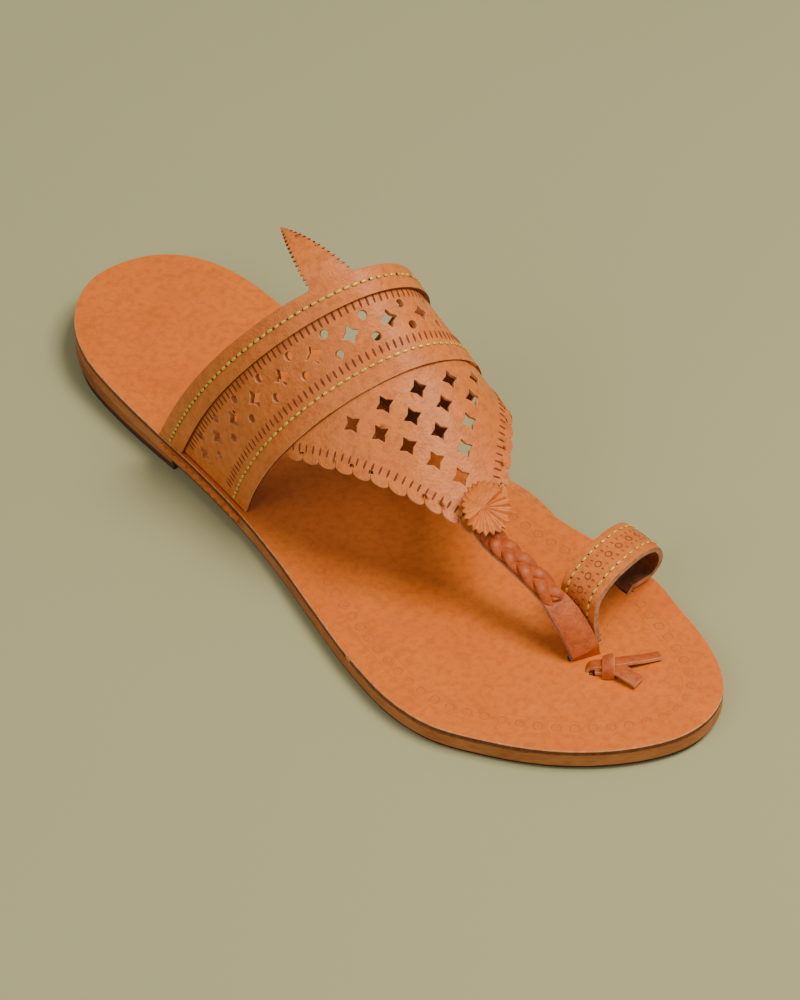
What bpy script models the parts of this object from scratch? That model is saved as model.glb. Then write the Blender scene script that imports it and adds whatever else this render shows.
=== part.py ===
# Kolhapuri sandal for the right foot, in vegetable tanned leather
# Metres, +Z up, toe towards -Y, inner (big toe) side towards +X, floor at Z = 0

import math
from collections import namedtuple

import bmesh
import bpy
import numpy as np
from mathutils import Vector, geometry

for item in list(bpy.data.objects):
    bpy.data.objects.remove(item, do_unlink=True)

# Driving dimensions

LENGTH = 0.255
BALL_WIDTH = 0.0878
WAIST_WIDTH = 0.0640
HEEL_WIDTH = 0.0636

TREAD = 0.0010
OUTSOLE = 0.0035
INSOLE = 0.0018
HEEL_LIFT = 0.0028
HEEL_RISE = 0.0060
TOE_SPRING = 0.0008
BREAST_AT = 0.285
EDGE_TRIM = 0.0005
GAP = 0.0003

INSTEP_HEIGHT = 0.0833
UPPER_WALL = 0.0022
FLAP_WALL = 0.0012
RIM = 0.0014
SIDE_BULGE = 0.0030
LEG_WALL = 0.0014
EAR_WALL = 0.0012
EAR_OUT = 0.0014
EAR_TEETH = 12
EAR_INSET = 0.03
TAB_WALL = 0.0011
TAB_OUT = 0.0036
TAB_DEEP = 0.0060
TAB_TAPER = 0.60
TAB_START = 0.28

STAR = 0.0058
STAR_WAIST = 0.60
HOLE = 0.0027
HOLE_SIDES = 7
BAND_STARS = 14
FLAP_STARS = 5
SCALLOPS = 11
SCALLOP_DEPTH = 0.0023
PATTERN_STEP = 0.0055

BINDING_WIDTH = 0.0095
BINDING = 0.0011
TAIL_LENGTH = 0.0250
TAIL_WIDTH = 0.0125
TAIL_BEND = math.radians(64)
TAIL_LEAN = 0.0028
TAIL_TAPER = 1.30
TAIL_TEETH = 16
TAIL_TIP = 0.0006
TOOTH = 0.0009

PLAIT_WIDTH = 0.0062
PLAIT_BASE = 0.0016
PLAIT_RAISE = 0.0021
PLAIT_TURNS = 6
PLAIT_SLANT = 0.45
PLAIT_FLOOR = 0.30
PLAIT_END = 0.76
PLAIT_FADE = 0.06
PLAIT_GROOVE = 0.12
PLAIT_SPAN = 0.85
STRAP_END_WIDTH = 0.0088
STRAP_UNDER = 0.13
STRAP_BOW = 0.15
STRAP_ARRIVE = 0.30
STRAP_HUMP = 0.0120
STRAP_CLEAR = 0.0016

ROSETTE = 0.0150
ROSETTE_WALL = 0.0012
ROSETTE_FOLD = 0.0009
ROSETTE_CUP = 0.0022
ROSETTE_TEETH = 20
ROSETTE_NICK = 0.10

RING_BAND = 0.0135
RING_WALL = 0.0019
RING_HEIGHT = 0.0222
RING_LEAN = 0.0025

THONG_WIDTH = 0.0046
THONG = 0.0014
KNOT = 0.0058
KNOT_TALL = 0.0042

# Finish of each piece: linear base colour and roughness

FINISH = {
    "insole": ((0.62, 0.20, 0.066), 0.46),
    "outsole": ((0.44, 0.19, 0.090), 0.66),
    "tread": ((0.20, 0.072, 0.034), 0.72),
    "heel_stack": ((0.42, 0.17, 0.080), 0.66),
    "heel_lift": ((0.13, 0.046, 0.024), 0.70),
    "upper": ((0.62, 0.19, 0.062), 0.44),
    "side_tab": ((0.56, 0.17, 0.060), 0.50),
    "rear_binding": ((0.64, 0.20, 0.066), 0.44),
    "toe_strap": ((0.55, 0.17, 0.058), 0.46),
    "rosette": ((0.64, 0.21, 0.080), 0.46),
    "toe_ring": ((0.57, 0.17, 0.052), 0.48),
    "knot": ((0.52, 0.14, 0.044), 0.50),
}

# Outline of the sole: shares of LENGTH from the heel, and reach to each side of
# the heel line as shares of the width that the row names

Station = namedtuple("Station", "along width inner outer")
OUTLINE = (
    Station(0.000, HEEL_WIDTH, 0.000, 0.000),
    Station(0.018, HEEL_WIDTH, 0.262, 0.205),
    Station(0.052, HEEL_WIDTH, 0.393, 0.346),
    Station(0.105, HEEL_WIDTH, 0.470, 0.450),
    Station(0.175, HEEL_WIDTH, 0.490, 0.498),
    Station(0.260, HEEL_WIDTH, 0.481, 0.519),
    Station(0.340, WAIST_WIDTH, 0.466, 0.526),
    Station(0.420, WAIST_WIDTH, 0.464, 0.556),
    Station(0.500, WAIST_WIDTH, 0.478, 0.614),
    Station(0.580, BALL_WIDTH, 0.357, 0.507),
    Station(0.680, BALL_WIDTH, 0.373, 0.575),
    Station(0.745, BALL_WIDTH, 0.395, 0.597),
    Station(0.800, BALL_WIDTH, 0.403, 0.577),
    Station(0.860, BALL_WIDTH, 0.368, 0.491),
    Station(0.910, BALL_WIDTH, 0.330, 0.391),
    Station(0.950, BALL_WIDTH, 0.278, 0.276),
    Station(0.980, BALL_WIDTH, 0.206, 0.150),
    Station(1.000, BALL_WIDTH, 0.040, -0.040),
)

# Side profile: rise of the sole's underside behind the ball and at the toe

Rise = namedtuple("Rise", "along heel toe")
PROFILE = (
    Rise(0.00, 1.00, 0.0),
    Rise(0.12, 0.90, 0.0),
    Rise(0.285, 0.50, 0.0),
    Rise(0.40, 0.18, 0.0),
    Rise(0.52, 0.00, 0.0),
    Rise(0.84, 0.00, 0.0),
    Rise(0.92, 0.00, 0.3),
    Rise(1.00, 0.00, 1.0),
)

# Sections of the upper, from the rear edge of the band (0) over its front edge (1)
# to the tip of the flap (2): where each foot and the crown stand along the sole,
# the crown's shift to the inner side as a share of BALL_WIDTH, its height as a
# share of INSTEP_HEIGHT

Section = namedtuple("Section", "at outer_foot inner_foot crown shift height")
UPPER = (
    Section(0.0, 0.262, 0.322, 0.4506, 0.027, 1.000),
    Section(1.0, 0.422, 0.479, 0.5500, 0.026, 0.767),
    Section(2.2, 0.619, 0.672, 0.7070, -0.053, 0.410),
)
ARCH_POWER = 0.67

# Places on the upper, as arc share from the outer foot and section

Spot = namedtuple("Spot", "share at")
FLAP_OUTER = Spot(0.222, 1.00)
FLAP_INNER = Spot(0.808, 1.00)
FLAP_TIP = Spot(0.515, 2.145)
FLAP_BLUNT = 0.033
BAND_FIRST = Spot(0.045, 0.43)
BAND_MIDDLE = Spot(0.4875, 0.52)
HOLE_STEP = 0.115
FLAP_STAR_FIRST = Spot(0.507, 1.15)
FLAP_STAR_PITCH = Spot(0.0715, 0.163)
TAIL_AT = 0.478
ROSETTE_AT = Spot(0.517, 2.04)
STRAP_AT = Spot(0.515, 1.92)
STRAP_LEAVES = Spot(0.515, 2.17)

# Places in the insole, as shares of LENGTH from the heel and of BALL_WIDTH from
# the heel line to the inner side

Place = namedtuple("Place", "along across")
STRAP_SLIT = (Place(0.828, -0.046), Place(0.841, 0.044))
RING_FEET = (Place(0.833, 0.060), Place(0.802, 0.312))
TAB_ENDS = (0.566, 0.672)
KNOT_SLIT = Place(0.858, -0.030)
KNOT_AT = Place(0.873, 0.004)
KNOT_ENDS = (Place(0.897, 0.165), Place(0.912, 0.028))

# Arch of the toe ring from its outer foot to its inner one, which curls under: share
# of its run, reach as a share of the distance between the feet, rise as a share of
# RING_HEIGHT

Bend = namedtuple("Bend", "run reach rise")
RING_ARCH = (
    Bend(0.00, 0.00, 0.02),
    Bend(0.12, -0.06, 0.39),
    Bend(0.21, -0.03, 0.69),
    Bend(0.29, 0.14, 0.88),
    Bend(0.36, 0.36, 0.97),
    Bend(0.44, 0.64, 1.00),
    Bend(0.53, 0.93, 0.97),
    Bend(0.60, 1.16, 0.86),
    Bend(0.69, 1.31, 0.61),
    Bend(0.77, 1.355, 0.37),
    Bend(0.84, 1.335, 0.19),
    Bend(0.90, 1.25, 0.08),
    Bend(0.95, 1.14, 0.04),
    Bend(1.00, 1.00, 0.02),
)


def slopes(xs, ys):
    """Tangents of a smooth curve through rows that may be unevenly spaced."""
    steps = np.diff(xs)
    rates = np.diff(ys) / steps
    inner = (rates[:-1] * steps[1:] + rates[1:] * steps[:-1]) / (steps[:-1] + steps[1:])
    flat = rates[:-1] * rates[1:] <= 0
    inner = np.where(flat, 0.0, inner)
    return np.concatenate([rates[:1], inner, rates[-1:]])


def smooth(xs, ys, x):
    """Value at x of the smooth curve through the rows (xs, ys)."""
    xs = np.asarray(xs, float)
    ys = np.asarray(ys, float)
    tangents = slopes(xs, ys)
    i = int(np.clip(np.searchsorted(xs, x) - 1, 0, len(xs) - 2))
    step = xs[i + 1] - xs[i]
    t = (x - xs[i]) / step
    value = (2 * t**3 - 3 * t**2 + 1) * ys[i] + (3 * t**2 - 2 * t**3) * ys[i + 1]
    return value + step * ((t**3 - 2 * t**2 + t) * tangents[i] + (t**3 - t**2) * tangents[i + 1])


def turn_of(along):
    """Angle that runs evenly round the two ends of the outline."""
    return math.acos(1 - 2 * min(max(along, 0.0), 1.0))


TURNS = [turn_of(row.along) for row in OUTLINE]
INNER = [row.width * row.inner for row in OUTLINE]
OUTER = [row.width * row.outer for row in OUTLINE]
HEEL_LINE = (max(OUTER) - max(INNER)) / 2


def reach(along, side):
    """Distance of the sole's edge from the heel line, inner side +1, outer side -1."""
    return smooth(TURNS, INNER if side > 0 else OUTER, turn_of(along))


def edge_x(along, side):
    return HEEL_LINE + side * reach(along, side)


def station_y(along):
    return LENGTH * (0.5 - along)


def along_of(y):
    return 0.5 - y / LENGTH


def rise(along):
    """Height of the tread's underside above the floor."""
    share = smooth([row.along for row in PROFILE], [row.heel for row in PROFILE], along)
    toe = smooth([row.along for row in PROFILE], [row.toe for row in PROFILE], along)
    return HEEL_RISE * share + TOE_SPRING * toe


def outsole_under(along):
    return rise(along) + TREAD + GAP


def outsole_top(along):
    return outsole_under(along) + OUTSOLE


def insole_under(along):
    return outsole_top(along) + GAP


def footbed(along):
    """Height of the insole's upper face."""
    return insole_under(along) + INSOLE


def finish_of(name):
    colour, roughness = FINISH[name]
    material = bpy.data.materials.new(name + "_leather")
    material.use_nodes = True
    shader = material.node_tree.nodes["Principled BSDF"]
    shader.inputs["Base Color"].default_value = (*colour, 1.0)
    shader.inputs["Roughness"].default_value = roughness
    return material


def make(name, points, faces, finish=None):
    """Named object from points and faces, its doubles merged and its faces outward."""
    form = bmesh.new()
    corners = [form.verts.new(p) for p in points]
    for face in faces:
        form.faces.new([corners[i] for i in face])
    bmesh.ops.remove_doubles(form, verts=form.verts, dist=0.000001)
    bmesh.ops.dissolve_degenerate(form, edges=form.edges, dist=0.000001)
    bmesh.ops.recalc_face_normals(form, faces=form.faces)
    mesh = bpy.data.meshes.new(name)
    form.to_mesh(mesh)
    form.free()
    item = bpy.data.objects.new(name, mesh)
    bpy.context.scene.collection.objects.link(item)
    if finish:
        mesh.materials.append(finish_of(finish))
    return item


def loft(name, loops, finish=None):
    """Closed solid through loops of equal count, with flat ends."""
    count = len(loops[0])
    points = [p for loop in loops for p in loop]
    faces = []
    for i in range(len(loops) - 1):
        a = i * count
        b = a + count
        for k in range(count):
            n = (k + 1) % count
            faces.append((a + k, a + n, b + n, b + k))
    faces.append(tuple(range(count)))
    faces.append(tuple(range(len(points) - count, len(points))))
    return make(name, points, faces, finish)


def cut(item, cutter, operation="DIFFERENCE"):
    """Boolean of a hidden wire body on a piece, applied at once."""
    cutter.hide_render = True
    cutter.display_type = "WIRE"
    tool = item.modifiers.new("cut", "BOOLEAN")
    tool.solver = "EXACT"
    tool.operation = operation
    tool.object = cutter
    graph = bpy.context.evaluated_depsgraph_get()
    result = bpy.data.meshes.new_from_object(item.evaluated_get(graph))
    item.modifiers.remove(tool)
    old = item.data
    item.data = result
    bpy.data.meshes.remove(old)
    bpy.data.objects.remove(cutter, do_unlink=True)


# Sole

SOLE_STEPS = 46
NARROW_REACH = 0.004


def sole_stations(start, end):
    """Shares of the length between two ends, close together round heel and toe."""
    first = turn_of(start)
    last = turn_of(end)
    turns = np.linspace(first, last, max(6, round(SOLE_STEPS * (last - first) / math.pi)) + 1)
    return [(1 - math.cos(t)) / 2 for t in turns]


def layer(name, start, end, under, top, trim):
    """One layer of the sole between two stations, trimmed back from the outline."""
    loops = []
    for along in sole_stations(start, end):
        keep = 1 - trim / max(NARROW_REACH, min(reach(along, 1), reach(along, -1)))
        y = station_y(along) * (1 - 2 * trim / LENGTH)
        middle = (edge_x(along, 1) + edge_x(along, -1)) / 2
        inner = middle + (edge_x(along, 1) - middle) * max(keep, 0)
        outer = middle + (edge_x(along, -1) - middle) * max(keep, 0)
        low = under(along)
        high = top(along)
        loops.append([(inner, y, high), (outer, y, high), (outer, y, low), (inner, y, low)])
    return loft(name, loops, name)


def lift_top(_):
    return HEEL_LIFT


def stack_under(_):
    return HEEL_LIFT + GAP


def stack_top(along):
    return outsole_under(along) - GAP


def floor_level(_):
    return 0.0


def tread_top(along):
    return rise(along) + TREAD


# Upper


def upper_row(name, at):
    return smooth([row.at for row in UPPER], [getattr(row, name) for row in UPPER], at)


def foot(at, side):
    """Outer face of the wall where it enters the insole, beside the sole's edge."""
    along = upper_row("inner_foot" if side > 0 else "outer_foot", at)
    return np.array((edge_x(along, side) - side * RIM, station_y(along), footbed(along) + GAP))


def crown(at):
    x = HEEL_LINE + BALL_WIDTH * upper_row("shift", at)
    return np.array((x, station_y(upper_row("crown", at)), INSTEP_HEIGHT * upper_row("height", at)))


ARCH_STEPS = 241
SECTION_CACHE = {}


def section(at):
    """Points over the arch from the outer foot to the inner one, and their arc shares."""
    key = round(at, 6)
    if key not in SECTION_CACHE:
        outer = foot(at, -1)
        inner = foot(at, 1)
        middle = (outer + inner) / 2
        turns = np.linspace(0, math.pi, ARCH_STEPS)
        height = np.clip(np.sin(turns), 0, 1) ** ARCH_POWER
        points = middle + np.outer(np.cos(turns), (outer - inner) / 2)
        points = points + np.outer(height, crown(at) - middle)
        across = (outer - inner) / np.linalg.norm(outer - inner)
        bulge = SIDE_BULGE * np.sign(np.cos(turns)) * np.sin(math.pi * height)
        points = points + np.outer(bulge, across)
        run = np.concatenate([[0], np.cumsum(np.linalg.norm(np.diff(points, axis=0), axis=1))])
        SECTION_CACHE[key] = (points, run / run[-1], run[-1])
    return SECTION_CACHE[key]


def skin(share, at):
    """Point of the upper's outer face, by arc share and section."""
    points, shares, _ = section(at)
    return np.array([np.interp(share, shares, points[:, k]) for k in range(3)])


STEP = 0.004


def skin_frame(share, at):
    """Point, tangents and outward normal of the upper's outer face."""
    low = max(share - STEP, 0.0)
    high = min(share + STEP, 1.0)
    around = (skin(high, at) - skin(low, at)) / (high - low)
    forward = (skin(share, at + STEP) - skin(share, at - STEP)) / (2 * STEP)
    normal = np.cross(forward, around)
    return skin(share, at), around, forward, normal / np.linalg.norm(normal)


ARC = section(0.5)[2]
BAND = (LENGTH * (UPPER[1].outer_foot - UPPER[0].outer_foot)
        + np.linalg.norm(crown(1.0) - crown(0.0))) / 2


def densify(loop, spacing):
    """Closed loop with its long sides divided."""
    result = []
    for i, start in enumerate(loop):
        start = np.asarray(start, float)
        end = np.asarray(loop[(i + 1) % len(loop)], float)
        parts = max(1, math.ceil(np.linalg.norm(end - start) / spacing))
        result += [start + (end - start) * k / parts for k in range(parts)]
    return result


def inside(point, loop):
    hit = False
    for i, a in enumerate(loop):
        b = loop[i - 1]
        if (a[1] > point[1]) != (b[1] > point[1]):
            if point[0] < (b[0] - a[0]) * (point[1] - a[1]) / (b[1] - a[1]) + a[0]:
                hit = not hit
    return hit


def clear_of(point, loop, distance):
    a = np.asarray(loop)
    b = np.roll(a, -1, axis=0)
    run = b - a
    share = ((point - a) * run).sum(1) / np.maximum((run * run).sum(1), 1e-18)
    nearest = a + run * np.clip(share, 0, 1)[:, None]
    return np.min(np.linalg.norm(nearest - point, axis=1)) > distance


def leather(name, outline, holes, lines, faces_of, finish):
    """Closed wall cut from a flat pattern and laid on a curved form.

    outline and holes are loops of the pattern, lines are open runs that its faces
    must follow, and faces_of(x, y) gives the outer and the inner point.
    """
    spacing = PATTERN_STEP
    loops = [densify(outline, spacing)] + [list(map(np.asarray, hole)) for hole in holes]
    points = []
    edges = []
    for loop in loops:
        first = len(points)
        points += [Vector(p) for p in loop]
        edges += [(first + k, first + (k + 1) % len(loop)) for k in range(len(loop))]
    for line in lines:
        first = len(points)
        points += [Vector(p) for p in line]
        edges += [(first + k, first + k + 1) for k in range(len(line) - 1)]
    runs = loops + [list(line) for line in lines]
    low = np.min(np.array(loops[0]), axis=0)
    high = np.max(np.array(loops[0]), axis=0)
    for i, x in enumerate(np.arange(low[0] + spacing / 2, high[0], spacing)):
        for y in np.arange(low[1] + spacing * (0.25 + 0.5 * (i % 2)), high[1], spacing):
            spot = np.array((x, y))
            if inside(spot, loops[0]) and all(clear_of(spot, run, spacing * 0.4) for run in runs):
                points.append(Vector(spot))
    flat = geometry.delaunay_2d_cdt(points, edges, [], 0, 1e-7)
    kept = []
    for face in flat[2]:
        centre = np.mean([flat[0][i] for i in face], axis=0)
        if inside(centre, loops[0]) and not any(inside(centre, hole) for hole in loops[1:]):
            kept.append(tuple(face))
    pairs = [faces_of(p[0], p[1]) for p in flat[0]]
    count = len(pairs)
    solid = [pair[0] for pair in pairs] + [pair[1] for pair in pairs]
    skins = kept + [tuple(i + count for i in reversed(face)) for face in kept]
    directed = {(f[k], f[(k + 1) % 3]) for f in kept for k in range(3)}
    for a, b in directed:
        if (b, a) not in directed:
            skins.append((b, a, a + count, b + count))
    used = sorted({i for face in skins for i in face})
    place = {old: new for new, old in enumerate(used)}
    return make(name, [solid[i] for i in used],
                [tuple(place[i] for i in face) for face in skins], finish)


def pattern_at(share, at, shape):
    """Shape in real metres, laid in the pattern round one spot of the upper."""
    _, around, forward, normal = skin_frame(share, at)
    first = around / np.linalg.norm(around)
    second = np.cross(first, normal)
    second = second * np.sign(np.dot(second, forward))
    basis = np.array([[around @ first, forward @ first], [around @ second, forward @ second]])
    back = np.linalg.inv(basis)
    spots = []
    for x, y in shape:
        step = back @ np.array((x, y))
        spots.append(((share + step[0]) * ARC, (at + step[1]) * BAND))
    return spots


def star_shape(size):
    """Four pointed star with hollow sides."""
    shape = []
    for k in range(8):
        radius = size / 2 * (STAR_WAIST if k % 2 else 1.0)
        turn = math.pi / 4 * k
        shape.append((radius * math.cos(turn), radius * math.sin(turn)))
    return shape


def round_shape(size, sides):
    turns = [2 * math.pi * k / sides for k in range(sides)]
    return [(size / 2 * math.cos(t), size / 2 * math.sin(t)) for t in turns]


def band_spot(k, shift=0.0):
    """Place k along the row of stars, which dips a little towards both feet."""
    pitch = 2 * (BAND_MIDDLE.share - BAND_FIRST.share) / (BAND_STARS - 1)
    share = BAND_FIRST.share + pitch * k
    away = abs(share - BAND_MIDDLE.share) / (BAND_MIDDLE.share - BAND_FIRST.share)
    return Spot(share, BAND_MIDDLE.at + (BAND_FIRST.at - BAND_MIDDLE.at) * away**2 + shift)


def flap_spots():
    """Triangle of stars: five, four, three, two and one."""
    spots = []
    for row in range(FLAP_STARS):
        first = (FLAP_STARS - row - 1) / 2
        at = FLAP_STAR_FIRST.at + FLAP_STAR_PITCH.at * row
        for k in range(FLAP_STARS - row):
            spots.append(Spot(FLAP_STAR_FIRST.share + FLAP_STAR_PITCH.share * (k - first), at))
    return spots


LOBE_SIDES = 5
LOBE_POWER = 0.7


def scalloped(start, end, count, depth):
    """Run of round lobes from one pattern point to another, lobes to the right of the run."""
    start = np.asarray(start, float)
    run = np.asarray(end, float) - start
    pitch = np.linalg.norm(run) / count
    direction = run / np.linalg.norm(run)
    out = np.array((direction[1], -direction[0]))
    spots = []
    for k in range(count):
        for turn in range(LOBE_SIDES):
            angle = math.pi * turn / LOBE_SIDES
            along = pitch * (k + 0.5 - 0.5 * math.cos(angle))
            spots.append(start + direction * along + out * depth * math.sin(angle) ** LOBE_POWER)
    return spots


def upper_outline():
    """Band and triangular flap in the pattern, from the rear outer corner."""
    left = (FLAP_OUTER.share * ARC, FLAP_OUTER.at * BAND)
    right = (FLAP_INNER.share * ARC, FLAP_INNER.at * BAND)
    tip = np.array((FLAP_TIP.share * ARC, FLAP_TIP.at * BAND))
    blunt = np.array((FLAP_BLUNT * ARC, 0.0))
    outline = [(0.0, 0.0), (ARC, 0.0), (ARC, BAND), right]
    outline += scalloped(right, tip + blunt, SCALLOPS, SCALLOP_DEPTH)[1:]
    outline += scalloped(tip - blunt, left, SCALLOPS, SCALLOP_DEPTH)
    outline += [left, (0.0, BAND)]
    return outline


LAP = 0.0004


def upper_faces(x, y):
    """Outer and inner point of the upper; the flap starts one wall lower."""
    point, _, _, normal = skin_frame(x / ARC, y / BAND)
    step = (UPPER_WALL - FLAP_WALL) * min(max((y - BAND) / LAP, 0.0), 1.0)
    return point - normal * step, point - normal * UPPER_WALL


def ear_loops(side, wide, out, teeth=0):
    """Sections of the leg through the insole and of the ear that it folds into."""
    loops = []
    for k, at in enumerate(np.linspace(EAR_INSET, 1 - EAR_INSET, max(7, 2 * teeth + 1))):
        spot = foot(at, side)
        along = along_of(spot[1])
        high = insole_under(along) - GAP * (0.1 if wide else 1.0)
        low = insole_under(along) - GAP - EAR_WALL - wide
        face = spot[0] - side * (UPPER_WALL - LEG_WALL) / 2
        near = face - side * (LEG_WALL + wide)
        far = face + side * wide
        end = edge_x(along, side) + side * (out - (TOOTH if teeth and k % 2 else 0.0))
        top = footbed(along) + GAP + UPPER_WALL
        loops.append([(near, spot[1], low), (end, spot[1], low), (end, spot[1], high),
                      (far, spot[1], high), (far, spot[1], top), (near, spot[1], top)])
    return loops


def tab_loops(wide):
    """Sections of the tab that sticks out between insole and outsole."""
    loops = []
    for share in np.linspace(0, 1, 7):
        along = TAB_ENDS[0] + (TAB_ENDS[1] - TAB_ENDS[0]) * share
        y = station_y(along) + wide * (1 - 2 * share)
        high = insole_under(along) - GAP * (0.1 if wide else 1.0)
        low = insole_under(along) - GAP - TAB_WALL - wide
        out = TAB_OUT * math.sin(math.pi * (TAB_START + (1 - TAB_START) * share)) + wide
        near = edge_x(along, 1) - TAB_DEEP * (1 - TAB_TAPER * share) - wide
        end = edge_x(along, 1) + out
        loops.append([(near, y, low), (end, y, low), (end, y, high), (near, y, high)])
    return loops


def build_tab():
    return loft("side_tab", tab_loops(0.0), "side_tab")


def slot(name, corners, along):
    """Cutter for a slit through the insole, a gap wider than what passes through."""
    loops = []
    for height in (insole_under(along) - GAP / 2, footbed(along) + 2 * GAP):
        loop = []
        for k, corner in enumerate(corners):
            from_last = corner - corners[k - 1]
            from_next = corner - corners[(k + 1) % len(corners)]
            away = from_last / np.linalg.norm(from_last) + from_next / np.linalg.norm(from_next)
            spot = corner + away * GAP
            loop.append(np.array((spot[0], spot[1], height)))
        loops.append(loop)
    return loft(name, loops)


def build_upper():
    holes = [pattern_at(*band_spot(k), star_shape(STAR)) for k in range(BAND_STARS)]
    for shift in (-HOLE_STEP, HOLE_STEP):
        for k in range(BAND_STARS - 1):
            holes.append(pattern_at(*band_spot(k + 0.5, shift), round_shape(HOLE, HOLE_SIDES)))
    holes += [pattern_at(*spot, star_shape(STAR)) for spot in flap_spots()]
    shares = np.linspace(FLAP_OUTER.share, FLAP_INNER.share, 20)[1:-1]
    lines = [[(share * ARC, BAND + LAP * k) for share in shares] for k in (0, 1)]
    upper = leather("upper", upper_outline(), holes, lines, upper_faces, "upper")
    for side in (-1, 1):
        cut(upper, loft("leg", ear_loops(side, 0.0, EAR_OUT, EAR_TEETH)), "UNION")
    return upper


def build_sole():
    tread = layer("tread", BREAST_AT + GAP / LENGTH, 1.0, rise, tread_top, EDGE_TRIM)
    outsole = layer("outsole", 0.0, 1.0, outsole_under, outsole_top, 0.0)
    stack = layer("heel_stack", 0.0, BREAST_AT, stack_under, stack_top, 0.0)
    lift = layer("heel_lift", 0.0, BREAST_AT, floor_level, lift_top, EDGE_TRIM)
    insole = layer("insole", 0.0, 1.0, insole_under, footbed, 0.0)
    for side in (-1, 1):
        cut(insole, loft("slit", ear_loops(side, GAP, EAR_OUT + TOOTH)))
        cut(outsole, loft("pocket", ear_loops(side, GAP, EAR_OUT + TOOTH)))
    cut(outsole, loft("tab_pocket", tab_loops(GAP)))
    cut(insole, slot("strap_slit", strap_foot(), STRAP_SLIT[0].along))
    for corners in ring_feet():
        cut(insole, slot("ring_slit", corners, RING_FEET[0].along))
    cut(insole, slot("knot_slit", knot_foot(), KNOT_SLIT.along))
    return tread, outsole, stack, lift, insole


def tail_outline():
    """Rear strip in the pattern, its pinked tail on the rear edge."""
    middle = TAIL_AT * ARC
    outline = [(0.0, 0.0)]
    for side in (-1, 1):
        teeth = range(TAIL_TEETH) if side < 0 else reversed(range(TAIL_TEETH))
        for k in teeth:
            down = k / TAIL_TEETH
            half = TAIL_WIDTH / 2 * (1 - down**TAIL_TAPER)
            centre = middle - TAIL_LEAN * down
            pair = (half - TOOTH, half) if k else (half,)
            for reach_out in pair if side < 0 else reversed(pair):
                outline.append((centre + side * max(reach_out, TAIL_TIP), -TAIL_LENGTH * down))
        if side < 0:
            outline.append((middle - TAIL_LEAN, -TAIL_LENGTH))
    return outline + [(ARC, 0.0), (ARC, BINDING_WIDTH), (0.0, BINDING_WIDTH)]


def binding_faces(x, y):
    """Outer and inner point of the rear strip; its tail bends back off the wall."""
    share = x / ARC
    point, _, _, normal = skin_frame(share, max(y, 0.0) / BAND)
    if y < 0:
        _, _, forward, lift = skin_frame(TAIL_AT, 0.0)
        back = -forward / np.linalg.norm(forward)
        turn = TAIL_BEND * -y / TAIL_LENGTH
        radius = TAIL_LENGTH / TAIL_BEND
        point = point + radius * (back * math.sin(turn) - lift * (1 - math.cos(turn)))
        leaning = lift * math.cos(turn) + back * math.sin(turn)
        settle = min(-y / TAIL_WIDTH, 1.0)
        normal = normal * (1 - settle) + leaning * settle
        normal = normal / np.linalg.norm(normal)
    return point + normal * (GAP + BINDING), point + normal * GAP


def build_binding():
    return leather("rear_binding", tail_outline(), [], [[(x, 0.0) for x in TAIL_ROOT]],
                   binding_faces, "rear_binding")


TAIL_ROOT = [TAIL_AT * ARC + TAIL_WIDTH * k for k in (-0.25, 0.0, 0.25)]


def place_point(place, height):
    x = HEEL_LINE + BALL_WIDTH * place.across
    return np.array((x, station_y(place.along), footbed(place.along) + height))


def plait(run, across):
    """Raise of the plait: slanting lobes that meet in a groove down the middle."""
    side = 0.5 if across > 0 else 0.0
    phase = (run * PLAIT_TURNS + side + PLAIT_SLANT * abs(across)) % 1.0
    lobe = math.sin(math.pi * phase) ** 0.5
    crest = math.sin(math.pi * min(PLAIT_GROOVE + PLAIT_SPAN * abs(across), 1.0)) ** 0.6
    return (PLAIT_FLOOR + (1 - PLAIT_FLOOR) * lobe) * crest


STRAP_SHARES = 46
STRAP_COLUMNS = np.linspace(1, -1, 9)


def under_flap(spot):
    """Place for the strap's underside so that its plait just clears the flap."""
    point, _, _, normal = skin_frame(*spot)
    return point - normal * (UPPER_WALL + GAP + PLAIT_BASE + PLAIT_RAISE)


def strap_route(share):
    """Underside of the toe strap, along under the flap's tip and then down to the slit."""
    first = under_flap(STRAP_AT)
    leave = under_flap(STRAP_LEAVES)
    if share < STRAP_UNDER:
        return first + (leave - first) * share / STRAP_UNDER
    low = sum(strap_foot()) / 4 + np.array((0.0, 0.0, STRAP_CLEAR))
    ahead = (leave - first) / np.linalg.norm(leave - first)
    bow = leave + ahead * np.linalg.norm(low - leave) * STRAP_BOW
    arrive = low + (leave - low) * STRAP_ARRIVE + np.array((0.0, 0.0, STRAP_HUMP))
    t = (share - STRAP_UNDER) / (1 - STRAP_UNDER)
    start = leave * (1 - t)**3 + bow * 3 * t * (1 - t)**2
    return start + arrive * 3 * t**2 * (1 - t) + low * t**3


def strap_foot():
    """Corners of the strap where it enters its slit: rear face, then front face."""
    outer = place_point(STRAP_SLIT[0], 0.0)
    inner = place_point(STRAP_SLIT[1], 0.0)
    across = (inner - outer) / np.linalg.norm(inner - outer)
    middle = (outer + inner) / 2
    forward = np.array((across[1], -across[0], 0.0))
    half = across * STRAP_END_WIDTH / 2
    deep = forward * PLAIT_BASE
    return [middle + half, middle - half, middle - half + deep, middle + half + deep]


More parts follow.
